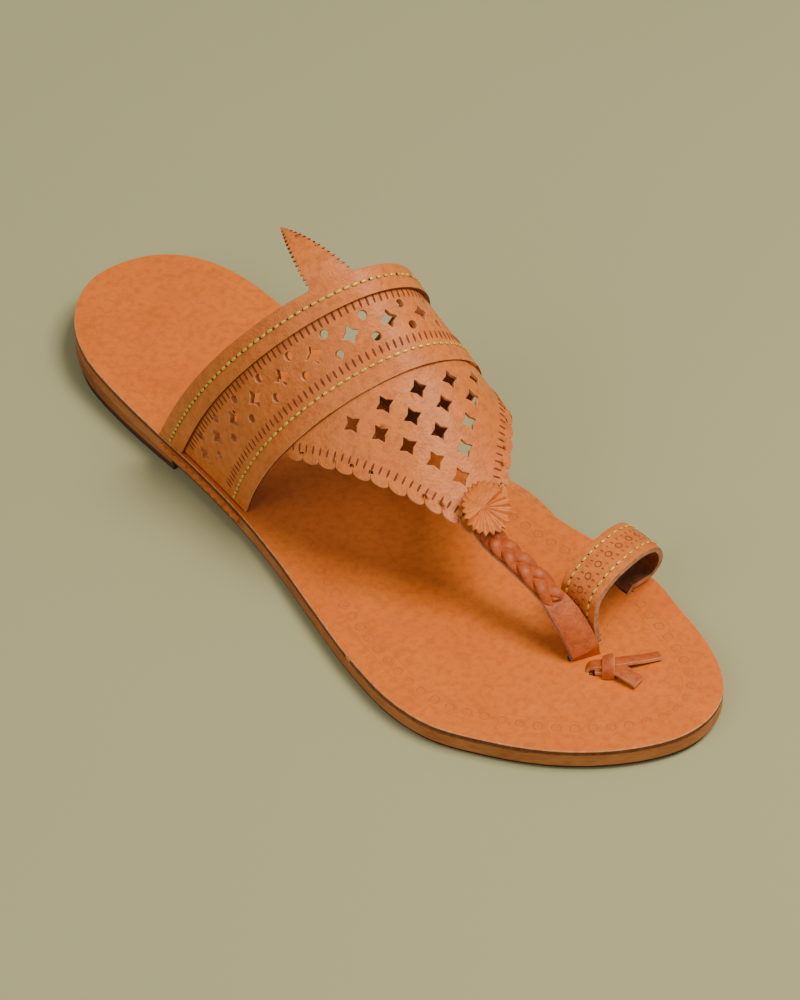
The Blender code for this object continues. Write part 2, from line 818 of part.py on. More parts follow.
def build_toe_strap():
    ends = place_point(STRAP_SLIT[1], 0.0) - place_point(STRAP_SLIT[0], 0.0)
    ends = ends / np.linalg.norm(ends)
    loops = []
    for k in range(STRAP_SHARES + 1):
        share = k / STRAP_SHARES
        point = strap_route(share)
        run = strap_route(share + 0.01) - strap_route(share - 0.01)
        run = run / np.linalg.norm(run)
        across = np.array((1.0, 0.0, 0.0)) * (1 - share**3) + ends * share**3
        across = across - run * (across @ run)
        across = across / np.linalg.norm(across)
        up = np.cross(across, run)
        up = up * np.sign(up[2])
        fade = min(max((share - PLAIT_END) / PLAIT_FADE, 0.0), 1.0)
        half = (PLAIT_WIDTH + (STRAP_END_WIDTH - PLAIT_WIDTH) * fade) / 2
        loop = [point + across * half, point - across * half]
        for column in reversed(STRAP_COLUMNS):
            raised = plait(share / PLAIT_END, column) * PLAIT_RAISE * (1 - fade)
            loop.append(point + across * half * column + up * (PLAIT_BASE + raised))
        loops.append(loop)
    top = [corner + np.array((0.0, 0.0, GAP)) for corner in strap_foot()]
    low = [np.array((p[0], p[1], insole_under(STRAP_SLIT[0].along))) for p in top]
    for level in (top, low):
        under_inner, under_outer, over_outer, over_inner = level
        front = [over_inner + (over_outer - over_inner) * (1 - c) / 2 for c in STRAP_COLUMNS]
        loops.append([under_inner, under_outer] + front[::-1])
    return loft("toe_strap", loops, "toe_strap")


ROSETTE_RINGS = (0.12, 0.35, 0.62, 0.86, 1.0)


def build_rosette():
    """Pinched round of leather, pleated towards its middle, its edge pinked."""
    centre, around, _, normal = skin_frame(*ROSETTE_AT)
    centre = centre - normal * (UPPER_WALL - FLAP_WALL)
    first = around / np.linalg.norm(around)
    second = np.cross(normal, first)
    sides = ROSETTE_TEETH * 2
    top = []
    under = []
    for ring in ROSETTE_RINGS:
        for k in range(sides):
            turn = 2 * math.pi * k / sides
            tooth = k % 2
            radius = ROSETTE / 2 * ring * (1 - ROSETTE_NICK * tooth * ring)
            height = ROSETTE_CUP * ring**2 + ROSETTE_FOLD * (0.5 if tooth else -0.5) * ring
            height += GAP + ROSETTE_FOLD / 2
            spot = centre + first * radius * math.cos(turn) + second * radius * math.sin(turn)
            under.append(spot + normal * height)
            top.append(spot + normal * (height + ROSETTE_WALL))
    rings = len(ROSETTE_RINGS)
    points = top + under
    faces = []
    for base, flip in ((0, False), (len(top), True)):
        for i in range(rings - 1):
            for k in range(sides):
                n = (k + 1) % sides
                face = (base + i * sides + k, base + i * sides + n,
                        base + (i + 1) * sides + n, base + (i + 1) * sides + k)
                faces.append(tuple(reversed(face)) if flip else face)
        cap = tuple(base + k for k in range(sides))
        faces.append(cap if flip else tuple(reversed(cap)))
    rim = (rings - 1) * sides
    for k in range(sides):
        n = (k + 1) % sides
        faces.append((rim + k, rim + n, len(top) + rim + n, len(top) + rim + k))
    return make("rosette", points, faces, "rosette")


RING_SIDES = 34
RING_STEP = 0.01


def ring_line(share):
    """Point of the toe ring's outer face at its front edge."""
    runs = [row.run for row in RING_ARCH]
    outer = place_point(RING_FEET[0], 0.0)
    inner = place_point(RING_FEET[1], 0.0)
    out = smooth(runs, [row.reach for row in RING_ARCH], share)
    up = smooth(runs, [row.rise for row in RING_ARCH], share)
    return np.array((outer[0] + (inner[0] - outer[0]) * out,
                     outer[1] + (inner[1] - outer[1]) * share - RING_LEAN * up,
                     outer[2] + RING_HEIGHT * up))


def ring_arch(share, inset):
    """Point of the ring's front edge: share 0 at its outer foot, 1 at its inner one."""
    run = ring_line(min(share + RING_STEP, 1.0)) - ring_line(max(share - RING_STEP, 0.0))
    if share in (0.0, 1.0):
        run = np.array((0.0, 0.0, 1.0 - 2.0 * share))
    inward = np.array((run[2], 0.0, -run[0]))
    return ring_line(share) + inward / np.linalg.norm(inward) * inset


def build_toe_ring():
    """Band over the big toe; both feet pass down through the insole."""
    loops = []
    width = np.array((0.0, RING_BAND, 0.0))
    arch = [k / RING_SIDES for k in range(RING_SIDES + 1)]
    for share in arch:
        out = ring_arch(share, 0.0)
        inn = ring_arch(share, RING_WALL)
        loops.append([out, out + width, inn + width, inn])
    feet = [[np.array((p[0], p[1], insole_under(RING_FEET[0].along))) for p in loops[i]]
            for i in (0, -1)]
    return loft("toe_ring", [feet[0]] + loops + [feet[1]], "toe_ring")


def ring_feet():
    """Corners of both feet of the ring where they enter the insole."""
    width = np.array((0.0, RING_BAND, 0.0))
    feet = []
    for share in (0.0, 1.0):
        out = ring_arch(share, 0.0)
        inn = ring_arch(share, RING_WALL)
        feet.append([out, out + width, inn + width, inn])
    return feet


def ribbon(name, route, width, thickness, finish):
    """Flat thong along a route of underside points, its width level with the floor."""
    loops = []
    for k, point in enumerate(route):
        run = route[min(k + 1, len(route) - 1)] - route[max(k - 1, 0)]
        flat = np.array((run[1], -run[0], 0.0))
        flat = flat / np.linalg.norm(flat)
        up = np.cross(flat, run / np.linalg.norm(run))
        side = flat * width / 2
        rise_by = up * thickness
        loops.append([point - side, point + side, point + side + rise_by, point - side + rise_by])
    return loft(name, loops, finish)


def knot_foot():
    """Corners of the thong where it comes up through the insole."""
    slit = place_point(KNOT_SLIT, 0.0)
    run = place_point(KNOT_AT, 0.0) - slit
    run[2] = 0.0
    run = run / np.linalg.norm(run)
    flat = np.array((run[1], -run[0], 0.0)) * THONG_WIDTH / 2
    deep = run * THONG
    return [slit + flat, slit - flat, slit - flat + deep, slit + flat + deep]


# Run of a tail from the knot, and the knot's own girth: share of the run or of the
# width, and lift as a share of the thong's thickness or of the knot's height

Level = namedtuple("Level", "share lift")
TAIL_RUN = (Level(-0.10, 0.8), Level(0.18, 1.3), Level(0.50, 0.5), Level(1.0, 0.0))
HEART = (Level(0.70, 0.0), Level(1.0, 0.35), Level(0.95, 0.75), Level(0.60, 1.0))
KNOT_SIDES = 8


def build_knot():
    """Thong that comes up through the insole, knotted, with two short ends."""
    heart = place_point(KNOT_AT, GAP)
    knot = None
    for end in KNOT_ENDS:
        tip = place_point(end, GAP)
        run = tip - heart
        route = [heart + run * row.share + np.array((0, 0, THONG * row.lift)) for row in TAIL_RUN]
        piece = ribbon("knot", route, THONG_WIDTH, THONG, "knot")
        if knot is None:
            knot = piece
        else:
            cut(knot, piece, "UNION")
    stem = knot_foot()
    mean = sum(stem) / 4
    over = [p - mean + (mean + heart) / 2 + np.array((0.0, 0.0, THONG)) for p in stem]
    levels = [[np.array((p[0], p[1], insole_under(KNOT_SLIT.along))) for p in stem],
              [p + np.array((0.0, 0.0, GAP)) for p in stem], over,
              [p - mean + heart + np.array((0.0, 0.0, THONG)) for p in stem]]
    cut(knot, loft("stem", levels), "UNION")
    loops = []
    for row in HEART:
        middle = heart + np.array((0.0, 0.0, row.lift * KNOT_TALL))
        turns = [2 * math.pi * (k + 0.5) / KNOT_SIDES for k in range(KNOT_SIDES)]
        radius = KNOT / 2 * row.share
        loops.append([middle + radius * np.array((math.cos(t), math.sin(t), 0.0)) for t in turns])
    cut(knot, loft("heart", loops), "UNION")
    return knot


build_sole()
build_upper()
build_tab()
build_binding()
build_toe_strap()
build_rosette()
build_toe_ring()
build_knot()
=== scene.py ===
import math

import bmesh
import bpy
import numpy as np
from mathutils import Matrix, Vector, geometry, kdtree, noise


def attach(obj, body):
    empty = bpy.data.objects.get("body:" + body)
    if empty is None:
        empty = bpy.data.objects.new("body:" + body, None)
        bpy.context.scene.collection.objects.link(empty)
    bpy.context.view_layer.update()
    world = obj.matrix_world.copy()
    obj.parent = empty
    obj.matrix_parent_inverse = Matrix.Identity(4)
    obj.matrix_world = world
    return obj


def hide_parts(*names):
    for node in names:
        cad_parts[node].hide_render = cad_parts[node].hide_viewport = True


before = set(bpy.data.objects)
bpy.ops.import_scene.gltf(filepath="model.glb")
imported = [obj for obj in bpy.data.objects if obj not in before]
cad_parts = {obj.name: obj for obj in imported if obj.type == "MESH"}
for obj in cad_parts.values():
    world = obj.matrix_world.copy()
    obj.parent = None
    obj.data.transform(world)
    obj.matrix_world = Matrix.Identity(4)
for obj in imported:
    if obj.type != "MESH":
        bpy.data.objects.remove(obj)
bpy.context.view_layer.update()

# Studio: a flat sheet of matt olive paper under a soft lamp from above on the inner side, with a
# weaker fill from the camera's side. The camera stands where the photographer stood, high on
# the outer side ahead of the toe, with a long lens.
CAMERA_PLACE = (-0.5408, -0.6200, 0.7889)
CAMERA_AIM = (0.0027, -0.0154, 0.0200)
SENSOR_MM = 36.0
LENS_MM = 141.0
LAMPS = (("key", (0.34, -0.46, 1.25), 0.62, 21.2, "#FFF4E4"),
         ("fill", (-1.25, -0.20, 1.05), 1.00, 7.5, "#FFF8EE"))
ROOM_LIGHT = 0.32
FLOOR_REACH = 3.0


def linear(hex_colour):
    """sRGB hex colour as linear RGBA."""
    parts = [int(hex_colour[i:i + 2], 16) / 255 for i in (1, 3, 5)]
    return tuple(p / 12.92 if p <= 0.04045 else ((p + 0.055) / 1.055) ** 2.4 for p in parts) + (1.0,)


def per_metre(size_mm):
    """Texture scale that gives features of about that many millimetres."""
    return 1000 / size_mm


def add(tree, kind, inputs=None, **settings):
    """Adds a node with its settings; an input takes a value or another node's socket."""
    node = tree.nodes.new(kind)
    for key, value in settings.items():
        setattr(node, key, value)
    for name, value in (inputs or {}).items():
        if isinstance(value, bpy.types.NodeSocket):
            tree.links.new(value, node.inputs[name])
        else:
            node.inputs[name].default_value = value
    return node


def new_material(name):
    material = bpy.data.materials.new(name)
    material.use_nodes = True
    material.node_tree.nodes.clear()
    return material, material.node_tree


def finish_shader(tree, **inputs):
    shader = add(tree, "ShaderNodeBsdfPrincipled", inputs)
    add(tree, "ShaderNodeOutputMaterial", {"Surface": shader.outputs["BSDF"]})


lens = bpy.data.cameras.new("camera")
lens.sensor_width = SENSOR_MM
lens.lens = LENS_MM
camera = bpy.data.objects.new("camera", lens)
camera.location = CAMERA_PLACE
camera.rotation_euler = (Vector(CAMERA_AIM) - Vector(CAMERA_PLACE)).to_track_quat("-Z", "Y").to_euler()
bpy.context.scene.collection.objects.link(camera)
bpy.context.scene.camera = camera

for name, place, size, power, tint in LAMPS:
    light = bpy.data.lights.new(name, "AREA")
    light.size = size
    light.energy = power
    light.color = linear(tint)[:3]
    holder = bpy.data.objects.new(name, light)
    holder.location = place
    holder.rotation_euler = (-Vector(place)).to_track_quat("-Z", "Y").to_euler()
    bpy.context.scene.collection.objects.link(holder)

world = bpy.data.worlds.new("soft room")
world.use_nodes = True
world.node_tree.nodes["Background"].inputs["Color"].default_value = linear("#F1F0EA")
world.node_tree.nodes["Background"].inputs["Strength"].default_value = ROOM_LIGHT
bpy.context.scene.world = world

# Coated paper, matt, painted olive grey: no gloss, and clouds of tone a hand or two wide.
sweep, tree = new_material("matt_olive_paper")
place = add(tree, "ShaderNodeTexCoord").outputs["Object"]
cloud = add(tree, "ShaderNodeTexNoise", {"Vector": place, "Scale": per_metre(333.3), "Detail": 2.0})
paper = add(tree, "ShaderNodeMix", {"Factor": cloud.outputs["Fac"], "A": linear("#A3A27A"),
                                    "B": linear("#A8A77F")}, data_type="RGBA")
finish_shader(tree, **{"Base Color": paper.outputs["Result"], "Roughness": 0.95})
mesh = bpy.data.meshes.new("floor")
corners = [(x * FLOOR_REACH, y * FLOOR_REACH, 0) for x, y in ((-1, -1), (1, -1), (1, 1), (-1, 1))]
mesh.from_pydata(corners, [], [(0, 1, 2, 3)])
floor = bpy.data.objects.new("floor", mesh)
mesh.materials.append(sweep)
bpy.context.scene.collection.objects.link(floor)

# Sole layers: outsole, heel stack, heel lift and tread. Vegetable tanned cow hide, clicked out
# to one outline, cemented, trimmed flush and rubbed with wax, so the cut edge shows its layers.
LENGTH = 0.255
BALL_WIDTH = 0.0878
WAIST_WIDTH = 0.0640
HEEL_WIDTH = 0.0636
GAP = 0.0003
TREAD = 0.0010
OUTSOLE = 0.0035
INSOLE = 0.0018
HEEL_LIFT = 0.0028
HEEL_RISE = 0.0060
TOE_SPRING = 0.0008
BREAST_AT = 0.285
EDGE_TRIM = 0.0005
TRIM_FADE = 0.004
HAIRLINE = GAP * 0.2
STACK_SEAM = GAP * 0.4
LAYER_STATIONS = 150
STREAK_FLATTENED = 7.0
# Rows: share of the length from the heel, the width that the row follows, and how far the edge
# reaches to the inner and to the outer side, as shares of that width.
OUTLINE = (
    (0.000, HEEL_WIDTH, 0.000, 0.000), (0.018, HEEL_WIDTH, 0.262, 0.205),
    (0.052, HEEL_WIDTH, 0.393, 0.346), (0.105, HEEL_WIDTH, 0.470, 0.450),
    (0.175, HEEL_WIDTH, 0.490, 0.498), (0.260, HEEL_WIDTH, 0.481, 0.519),
    (0.340, WAIST_WIDTH, 0.466, 0.526), (0.420, WAIST_WIDTH, 0.464, 0.556),
    (0.500, WAIST_WIDTH, 0.478, 0.614), (0.580, BALL_WIDTH, 0.357, 0.507),
    (0.680, BALL_WIDTH, 0.373, 0.575), (0.745, BALL_WIDTH, 0.395, 0.597),
    (0.800, BALL_WIDTH, 0.403, 0.577), (0.860, BALL_WIDTH, 0.368, 0.491),
    (0.910, BALL_WIDTH, 0.330, 0.391), (0.950, BALL_WIDTH, 0.278, 0.276),
    (0.980, BALL_WIDTH, 0.206, 0.150), (1.000, BALL_WIDTH, 0.040, -0.040))
# Rows: share of the length from the heel, share of the heel rise, share of the toe spring.
PROFILE = ((0.0, 1.0, 0.0), (0.12, 0.9, 0.0), (0.285, 0.5, 0.0), (0.40, 0.18, 0.0),
           (0.52, 0.0, 0.0), (0.84, 0.0, 0.0), (0.92, 0.0, 0.3), (1.0, 0.0, 1.0))


def smooth(xs, ys, x):
    """Value at x of the smooth curve through the rows (xs, ys)."""
    steps = np.diff(xs)
    rates = np.diff(ys) / steps
    inner = (rates[:-1] * steps[1:] + rates[1:] * steps[:-1]) / (steps[:-1] + steps[1:])
    inner = np.where(rates[:-1] * rates[1:] <= 0, 0.0, inner)
    slope = np.concatenate([rates[:1], inner, rates[-1:]])
    i = int(np.clip(np.searchsorted(xs, x) - 1, 0, len(xs) - 2))
    t = (x - xs[i]) / steps[i]
    value = (2 * t**3 - 3 * t**2 + 1) * ys[i] + (3 * t**2 - 2 * t**3) * ys[i + 1]
    return value + steps[i] * ((t**3 - 2 * t**2 + t) * slope[i] + (t**3 - t**2) * slope[i + 1])


def turn_of(along):
    return math.acos(1 - 2 * min(max(along, 0.0), 1.0))


TURNS = [turn_of(row[0]) for row in OUTLINE]
REACH = {1: [row[1] * row[2] for row in OUTLINE], -1: [row[1] * row[3] for row in OUTLINE]}
HEEL_LINE = (max(REACH[-1]) - max(REACH[1])) / 2


def edge_x(along, side):
    return HEEL_LINE + side * smooth(TURNS, REACH[side], turn_of(along))


def station_y(along):
    return LENGTH * (0.5 - along)


def rise(along):
    ends = [row[0] for row in PROFILE]
    heel = smooth(ends, [row[1] for row in PROFILE], along)
    return HEEL_RISE * heel + TOE_SPRING * smooth(ends, [row[2] for row in PROFILE], along)


def outsole_under(along):
    return rise(along) + TREAD + GAP


def insole_under(along):
    return outsole_under(along) + OUTSOLE + GAP


def footbed(along):
    return insole_under(along) + INSOLE


def leather_piece(name, points, faces, materials, slots=None, bevel=0.0, angle=35, rim=-1):
    """Named piece, faces outward, its edges softened by a bevel that may show another slot; a light
    slot there is a painted highlight along the rims.
    """
    form = bmesh.new()
    corners = [form.verts.new(p) for p in points]
    for k, face in enumerate(faces):
        made = form.faces.new([corners[i] for i in face])
        made.material_index = slots[k] if slots else 0
    bmesh.ops.remove_doubles(form, verts=form.verts, dist=0.000001)
    bmesh.ops.recalc_face_normals(form, faces=form.faces)
    mesh = bpy.data.meshes.new(name)
    form.to_mesh(mesh)
    form.free()
    for material in materials:
        mesh.materials.append(material)
    mesh.shade_smooth()
    mesh.set_sharp_from_angle(angle=math.radians(angle))
    item = bpy.data.objects.new(name, mesh)
    bpy.context.scene.collection.objects.link(item)
    if bevel:
        soft = item.modifiers.new("soft edge", "BEVEL")
        soft.width = bevel
        soft.segments = 2
        soft.limit_method = "ANGLE"
        soft.angle_limit = math.radians(50)
        soft.use_clamp_overlap = True
        soft.material = rim
    return item


def fix_on(item, slot, *replaced):
    """Fixes a piece on the one rigid body, in place of any CAD node it stands for. The slot is not
    used.
    """
    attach(item, "root")
    if replaced:
        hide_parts(*replaced)


def loft(loops):
    """Points and faces of a closed solid through loops of equal count."""
    count = len(loops[0])
    points = [p for loop in loops for p in loop]
    faces = [tuple(range(count)), tuple(range(len(points) - count, len(points)))]
    for i in range(len(loops) - 1):
        for k in range(count):
            n = (k + 1) % count
            faces.append((i * count + k, i * count + n, (i + 1) * count + n, (i + 1) * count + k))
    return points, faces


def loft_slots(around, faces):
    """Material slots of a loft: slot 2 at both ends, then the same run of slots at each step."""
    return [2, 2] + [around[k % len(around)] for k in range(len(faces) - 2)]


def edge_leather(name, light, dark, roughness):
    """Cut and waxed edge: the hide's fibres lie in streaks along the edge, about 0.6 mm apart."""
    material, tree = new_material(name)
    place = add(tree, "ShaderNodeTexCoord").outputs["Object"]
    drawn = add(tree, "ShaderNodeMapping", {"Vector": place, "Scale": (1.0, 1.0, STREAK_FLATTENED)})
    streak = add(tree, "ShaderNodeTexNoise", {"Vector": drawn.outputs["Vector"],
                                              "Scale": per_metre(4.167), "Detail": 6.0,
                                              "Roughness": 0.7})
    patch = add(tree, "ShaderNodeTexNoise", {"Vector": place, "Scale": per_metre(22.22),
                                             "Detail": 3.0})
    share = add(tree, "ShaderNodeMath", {0: streak.outputs["Fac"], 1: patch.outputs["Fac"]},
                operation="ADD")
    spread = add(tree, "ShaderNodeMapRange", {"Value": share.outputs[0], "From Min": 0.75,
                                              "From Max": 1.30})
    colour = add(tree, "ShaderNodeMix", {"Factor": spread.outputs["Result"], "A": linear(dark),
                                         "B": linear(light)}, data_type="RGBA")
    bump = add(tree, "ShaderNodeBump", {"Height": streak.outputs["Fac"], "Strength": 0.35,
                                        "Distance": 0.0003})
    finish_shader(tree, **{"Base Color": colour.outputs["Result"], "Roughness": roughness,
                           "Normal": bump.outputs["Normal"]})
    return material


def sole_layer(name, start, end, under, top, trim, material, bevel):
    """One layer of the sole between two stations along the length."""
    first, last = turn_of(start), turn_of(end)
    loops = []
    for turn in np.linspace(first, last, LAYER_STATIONS):
        along = (1 - math.cos(turn)) / 2
        y = station_y(along) * (1 - 2 * trim / LENGTH)
        middle = (edge_x(along, 1) + edge_x(along, -1)) / 2
        half = (edge_x(along, 1) - edge_x(along, -1)) / 2
        half = max(half - trim * min(1.0, half / TRIM_FADE), 0.0)
        low, high = under(along), top(along)
        loops.append([(middle + half, y, high), (middle - half, y, high),
                      (middle - half, y, low), (middle + half, y, low)])
    item = leather_piece(name, *loft(loops), [material], bevel=bevel)
    fix_on(item, name.removesuffix("_edge"), name.removesuffix("_edge"))


# Waxed edges have a dull shine and show the tan of the hide. The top piece under the heel is dyed dark
# brown and has worn matt, and the tread is dark brown and matt, a dark line along the bottom of the
# sole.
sole_edge = edge_leather("waxed_sole_edge", "#CB8246", "#96501E", 0.62)
stack_edge = edge_leather("waxed_heel_edge", "#B66C34", "#80411A", 0.62)
tread_leather = edge_leather("dark_tread_leather", "#5B3420", "#3A1F14", 0.78)
lift_leather = edge_leather("dark_heel_leather", "#5A3524", "#38201A", 0.72)
sole_layer("outsole_edge", 0.0, 1.0, outsole_under, lambda a: insole_under(a) - HAIRLINE,
           trim=0.0, material=sole_edge, bevel=0.0004)
sole_layer("heel_stack_edge", 0.0, BREAST_AT, lambda a: HEEL_LIFT + STACK_SEAM,
           lambda a: outsole_under(a) - STACK_SEAM, trim=0.0, material=stack_edge, bevel=0.0003)
sole_layer("heel_lift_edge", 0.0, BREAST_AT, lambda a: 0.0, lambda a: HEEL_LIFT,
           trim=EDGE_TRIM, material=lift_leather, bevel=0.0004)
sole_layer("tread_edge", BREAST_AT + GAP / LENGTH, 1.0, rise, lambda a: rise(a) + TREAD,
           trim=EDGE_TRIM, material=tread_leather, bevel=0.0003)

# Instep band: one wide strap of grained leather over a lining, its ends passed down through the
# insole. Stars and round holes are punched through it, and its front edge laps over the flap.
INSTEP_HEIGHT = 0.0833
UPPER_WALL = 0.0022
FLAP_WALL = 0.0012
RIM = 0.0014
SIDE_BULGE = 0.0030
ARCH_POWER = 0.67
# Rows: place from the band's rear edge at 0 over its front edge at 1 to past the flap's tip, the
# stations of the outer foot, the inner foot and the crown, the crown's shift as a share of the
# ball's width, and its height as a share of the instep's.
UPPER = ((0.0, 0.262, 0.322, 0.4506, 0.027, 1.000), (1.0, 0.422, 0.479, 0.5500, 0.026, 0.767),
         (2.2, 0.619, 0.672, 0.7070, -0.053, 0.410))
STAR = 0.0058
STAR_HOLLOW = 0.48
HOLE = 0.0027
BAND_STARS = 14
FIRST_STAR = 0.045
MIDDLE_STAR = 0.4875
STAR_ROW = 0.52
STAR_ROW_DIP = 0.09
HOLE_ROWS = 0.115
LAP_FROM = 0.79
LAP_ROOM = 0.00005
MESH_STEP = 0.0018
BAND_SWELL = (0.014, 0.00022)


def upper_row(column, at):
    return smooth([row[0] for row in UPPER], [row[column] for row in UPPER], at)


def foot(at, side):
    """Where the upper meets the footbed, on the outer side at -1 or the inner side at 1."""
    along = upper_row(2 if side > 0 else 1, at)
    return np.array((edge_x(along, side) - side * RIM, station_y(along), footbed(along) + GAP))


def arch(at, count):
    """Evenly spaced points over the arch at one section, from the outer foot to the inner."""
    outer, inner = foot(at, -1), foot(at, 1)
    middle = (outer + inner) / 2
    crown = np.array((HEEL_LINE + BALL_WIDTH * upper_row(4, at), station_y(upper_row(3, at)),
                      INSTEP_HEIGHT * upper_row(5, at)))
    turns = np.linspace(0, math.pi, 361)
    height = np.clip(np.sin(turns), 0, 1) ** ARCH_POWER
    points = middle + np.outer(np.cos(turns), (outer - inner) / 2) + np.outer(height, crown - middle)
    across = (outer - inner) / np.linalg.norm(outer - inner)
    points += np.outer(SIDE_BULGE * np.sign(np.cos(turns)) * np.sin(math.pi * height), across)
    run = np.concatenate([[0], np.cumsum(np.linalg.norm(np.diff(points, axis=0), axis=1))])
    shares = np.linspace(0, run[-1], count)
    return np.stack([np.interp(shares, run, points[:, k]) for k in range(3)], axis=1), run[-1]


AT_ROWS = np.linspace(-0.06, 2.30, 119)
SHARE_STEPS = 301
STEP_ROUND = 0.006
STEP_AHEAD = 0.03
SKIN = np.array([arch(at, SHARE_STEPS)[0] for at in AT_ROWS])
OUTWARD = np.cross(np.gradient(SKIN, axis=0), np.gradient(SKIN, axis=1))
OUTWARD /= np.linalg.norm(OUTWARD, axis=2, keepdims=True)
ARC = arch(0.5, 2)[1]
CROWNS = [SKIN[np.argmin(abs(AT_ROWS - at)), SHARE_STEPS // 2] for at in (0.0, 1.0)]
BAND = (LENGTH * (UPPER[1][1] - UPPER[0][1]) + np.linalg.norm(CROWNS[1] - CROWNS[0])) / 2


def on_upper(share, at):
    """Points and outward normals of the upper's form at arrays of places."""
    i = np.clip((np.asarray(at, float) - AT_ROWS[0]) / (AT_ROWS[1] - AT_ROWS[0]), 0,
                len(AT_ROWS) - 1.001)
    j = np.clip(np.asarray(share, float) * (SHARE_STEPS - 1), 0, SHARE_STEPS - 1.001)
    i, j = np.broadcast_arrays(i, j)
    a, b = i.astype(int), j.astype(int)
    u, v = (i - a)[..., None], (j - b)[..., None]
    found = []
    for grid in (SKIN, OUTWARD):
        near = grid[a, b] * (1 - v) + grid[a, b + 1] * v
        far = grid[a + 1, b] * (1 - v) + grid[a + 1, b + 1] * v
        found.append(near * (1 - u) + far * u)
    return found[0], found[1] / np.linalg.norm(found[1], axis=-1, keepdims=True)


def pattern_at(spot, shape):
    """Shape in real metres, laid in the flat pattern round one spot of the upper."""
    share, at = spot
    point, normal = on_upper(share, at)
    around = on_upper(share + STEP_ROUND, at)[0] - on_upper(share - STEP_ROUND, at)[0]
    around = around / (2 * STEP_ROUND)
    forward = on_upper(share, at + STEP_AHEAD)[0] - on_upper(share, at - STEP_AHEAD)[0]
    forward = forward / (2 * STEP_AHEAD)
    first = around / np.linalg.norm(around)
    second = np.cross(first, normal)
    second = second * np.sign(second @ forward)
    back = np.linalg.inv(np.array([[around @ first, forward @ first],
                                   [around @ second, forward @ second]]))
    steps = np.asarray(shape) @ back.T
    return np.stack([(share + steps[:, 0]) * ARC, (at + steps[:, 1]) * BAND], axis=1)


def star_shape(size):
    """Four pointed star with hollow sides, four short runs to a side."""
    shape = []
    for k in range(4):
        for t in (0.0, 0.25, 0.5, 0.75):
            turn = math.pi / 2 * (k + t)
            deep = 1 - STAR_HOLLOW * math.sin(math.pi * t) ** 0.85
            shape.append((size / 2 * deep * math.cos(turn), size / 2 * deep * math.sin(turn)))
    return shape


def round_shape(size, sides=12):
    turns = [2 * math.pi * k / sides for k in range(sides)]
    return [(size / 2 * math.cos(t), size / 2 * math.sin(t)) for t in turns]


def within(points, loop):
    """Which points of the pattern lie inside a loop."""
    a = np.asarray(loop)
    b = np.roll(a, 1, axis=0)
    y = points[:, 1][:, None]
    crosses = (a[:, 1] > y) != (b[:, 1] > y)
    drop = np.where(b[:, 1] == a[:, 1], 1e-12, b[:, 1] - a[:, 1])
    at = (b[:, 0] - a[:, 0]) * (y - a[:, 1]) / drop + a[:, 0]
    return (crosses & (points[:, 0][:, None] < at)).sum(1) % 2 == 1


def densify(loop, spacing):
    result = []
    for k, start in enumerate(loop):
        start, end = np.asarray(start, float), np.asarray(loop[(k + 1) % len(loop)], float)
        parts = max(1, math.ceil(np.linalg.norm(end - start) / spacing))
        result += [start + (end - start) * n / parts for n in range(parts)]
    return result


def cut_leather(outline, holes, spacing, faces_of):
    """Points, faces and material slots of a wall cut from a flat pattern and laid on a form.

    Slot 0 is the grain side, 1 the flesh side, 2 the outer cut edge, 3 the punched edges.
    """
    loops = [densify(outline, spacing)] + [densify(hole, spacing) for hole in holes]
    rims = np.array([p for loop in loops for p in loop])
    edges = []
    first = 0
    for loop in loops:
        edges += [(first + k, first + (k + 1) % len(loop)) for k in range(len(loop))]
        first += len(loop)
    near = kdtree.KDTree(len(rims))
    for k, p in enumerate(rims):
        near.insert((p[0], p[1], 0.0), k)
    near.balance()
    low, high = rims.min(0), rims.max(0)
    # Points of even triangles fill the inside, none of them too near a rim.
    grid = np.array([(x, y) for i, x in enumerate(np.arange(low[0], high[0], spacing * 0.87))
                     for y in np.arange(low[1] + spacing * 0.5 * (i % 2), high[1], spacing)])
    grid = grid[within(grid, loops[0])]
    grid = [p for p in grid if near.find((p[0], p[1], 0.0))[2] > spacing * 0.45]
    points = [Vector(p) for p in rims] + [Vector(p) for p in grid]
    flat = geometry.delaunay_2d_cdt(points, edges, [], 0, 1e-7)
    spots = np.array([tuple(p) for p in flat[0]])
    faces = np.array([tuple(f) for f in flat[2]])
    middles = spots[faces].mean(axis=1)
    keep = within(middles, loops[0])
    for hole in loops[1:]:
        box = np.asarray(hole)
        maybe = np.where(keep & (middles >= box.min(0)).all(1) & (middles <= box.max(0)).all(1))[0]
        if len(maybe):
            keep[maybe[within(middles[maybe], hole)]] = False
    faces = [tuple(int(i) for i in f) for f in faces[keep]]
    top, under = faces_of(spots[:, 0], spots[:, 1])
    count = len(spots)
    solid = np.concatenate([top, under])
    skins = faces + [tuple(i + count for i in reversed(f)) for f in faces]
    slots = [0] * len(faces) + [1] * len(faces)
    directed = {(f[k], f[(k + 1) % 3]) for f in faces for k in range(3)}
    outer = {tuple(np.round(p, 7)) for p in loops[0]}
    for a, b in sorted(directed):
        if (b, a) not in directed:
            skins.append((b, a, a + count, b + count))
            slots.append(2 if tuple(np.round(spots[a], 7)) in outer else 3)
    used = sorted({i for face in skins for i in face})
    place = {old: new for new, old in enumerate(used)}
    return [solid[i] for i in used], [tuple(place[i] for i in f) for f in skins], slots


def ripple(points, size, depth):
    """Small uneven swell of a hand worked hide, as a height for each point."""
    return np.array([noise.noise(Vector(p) / size) * depth for p in points])


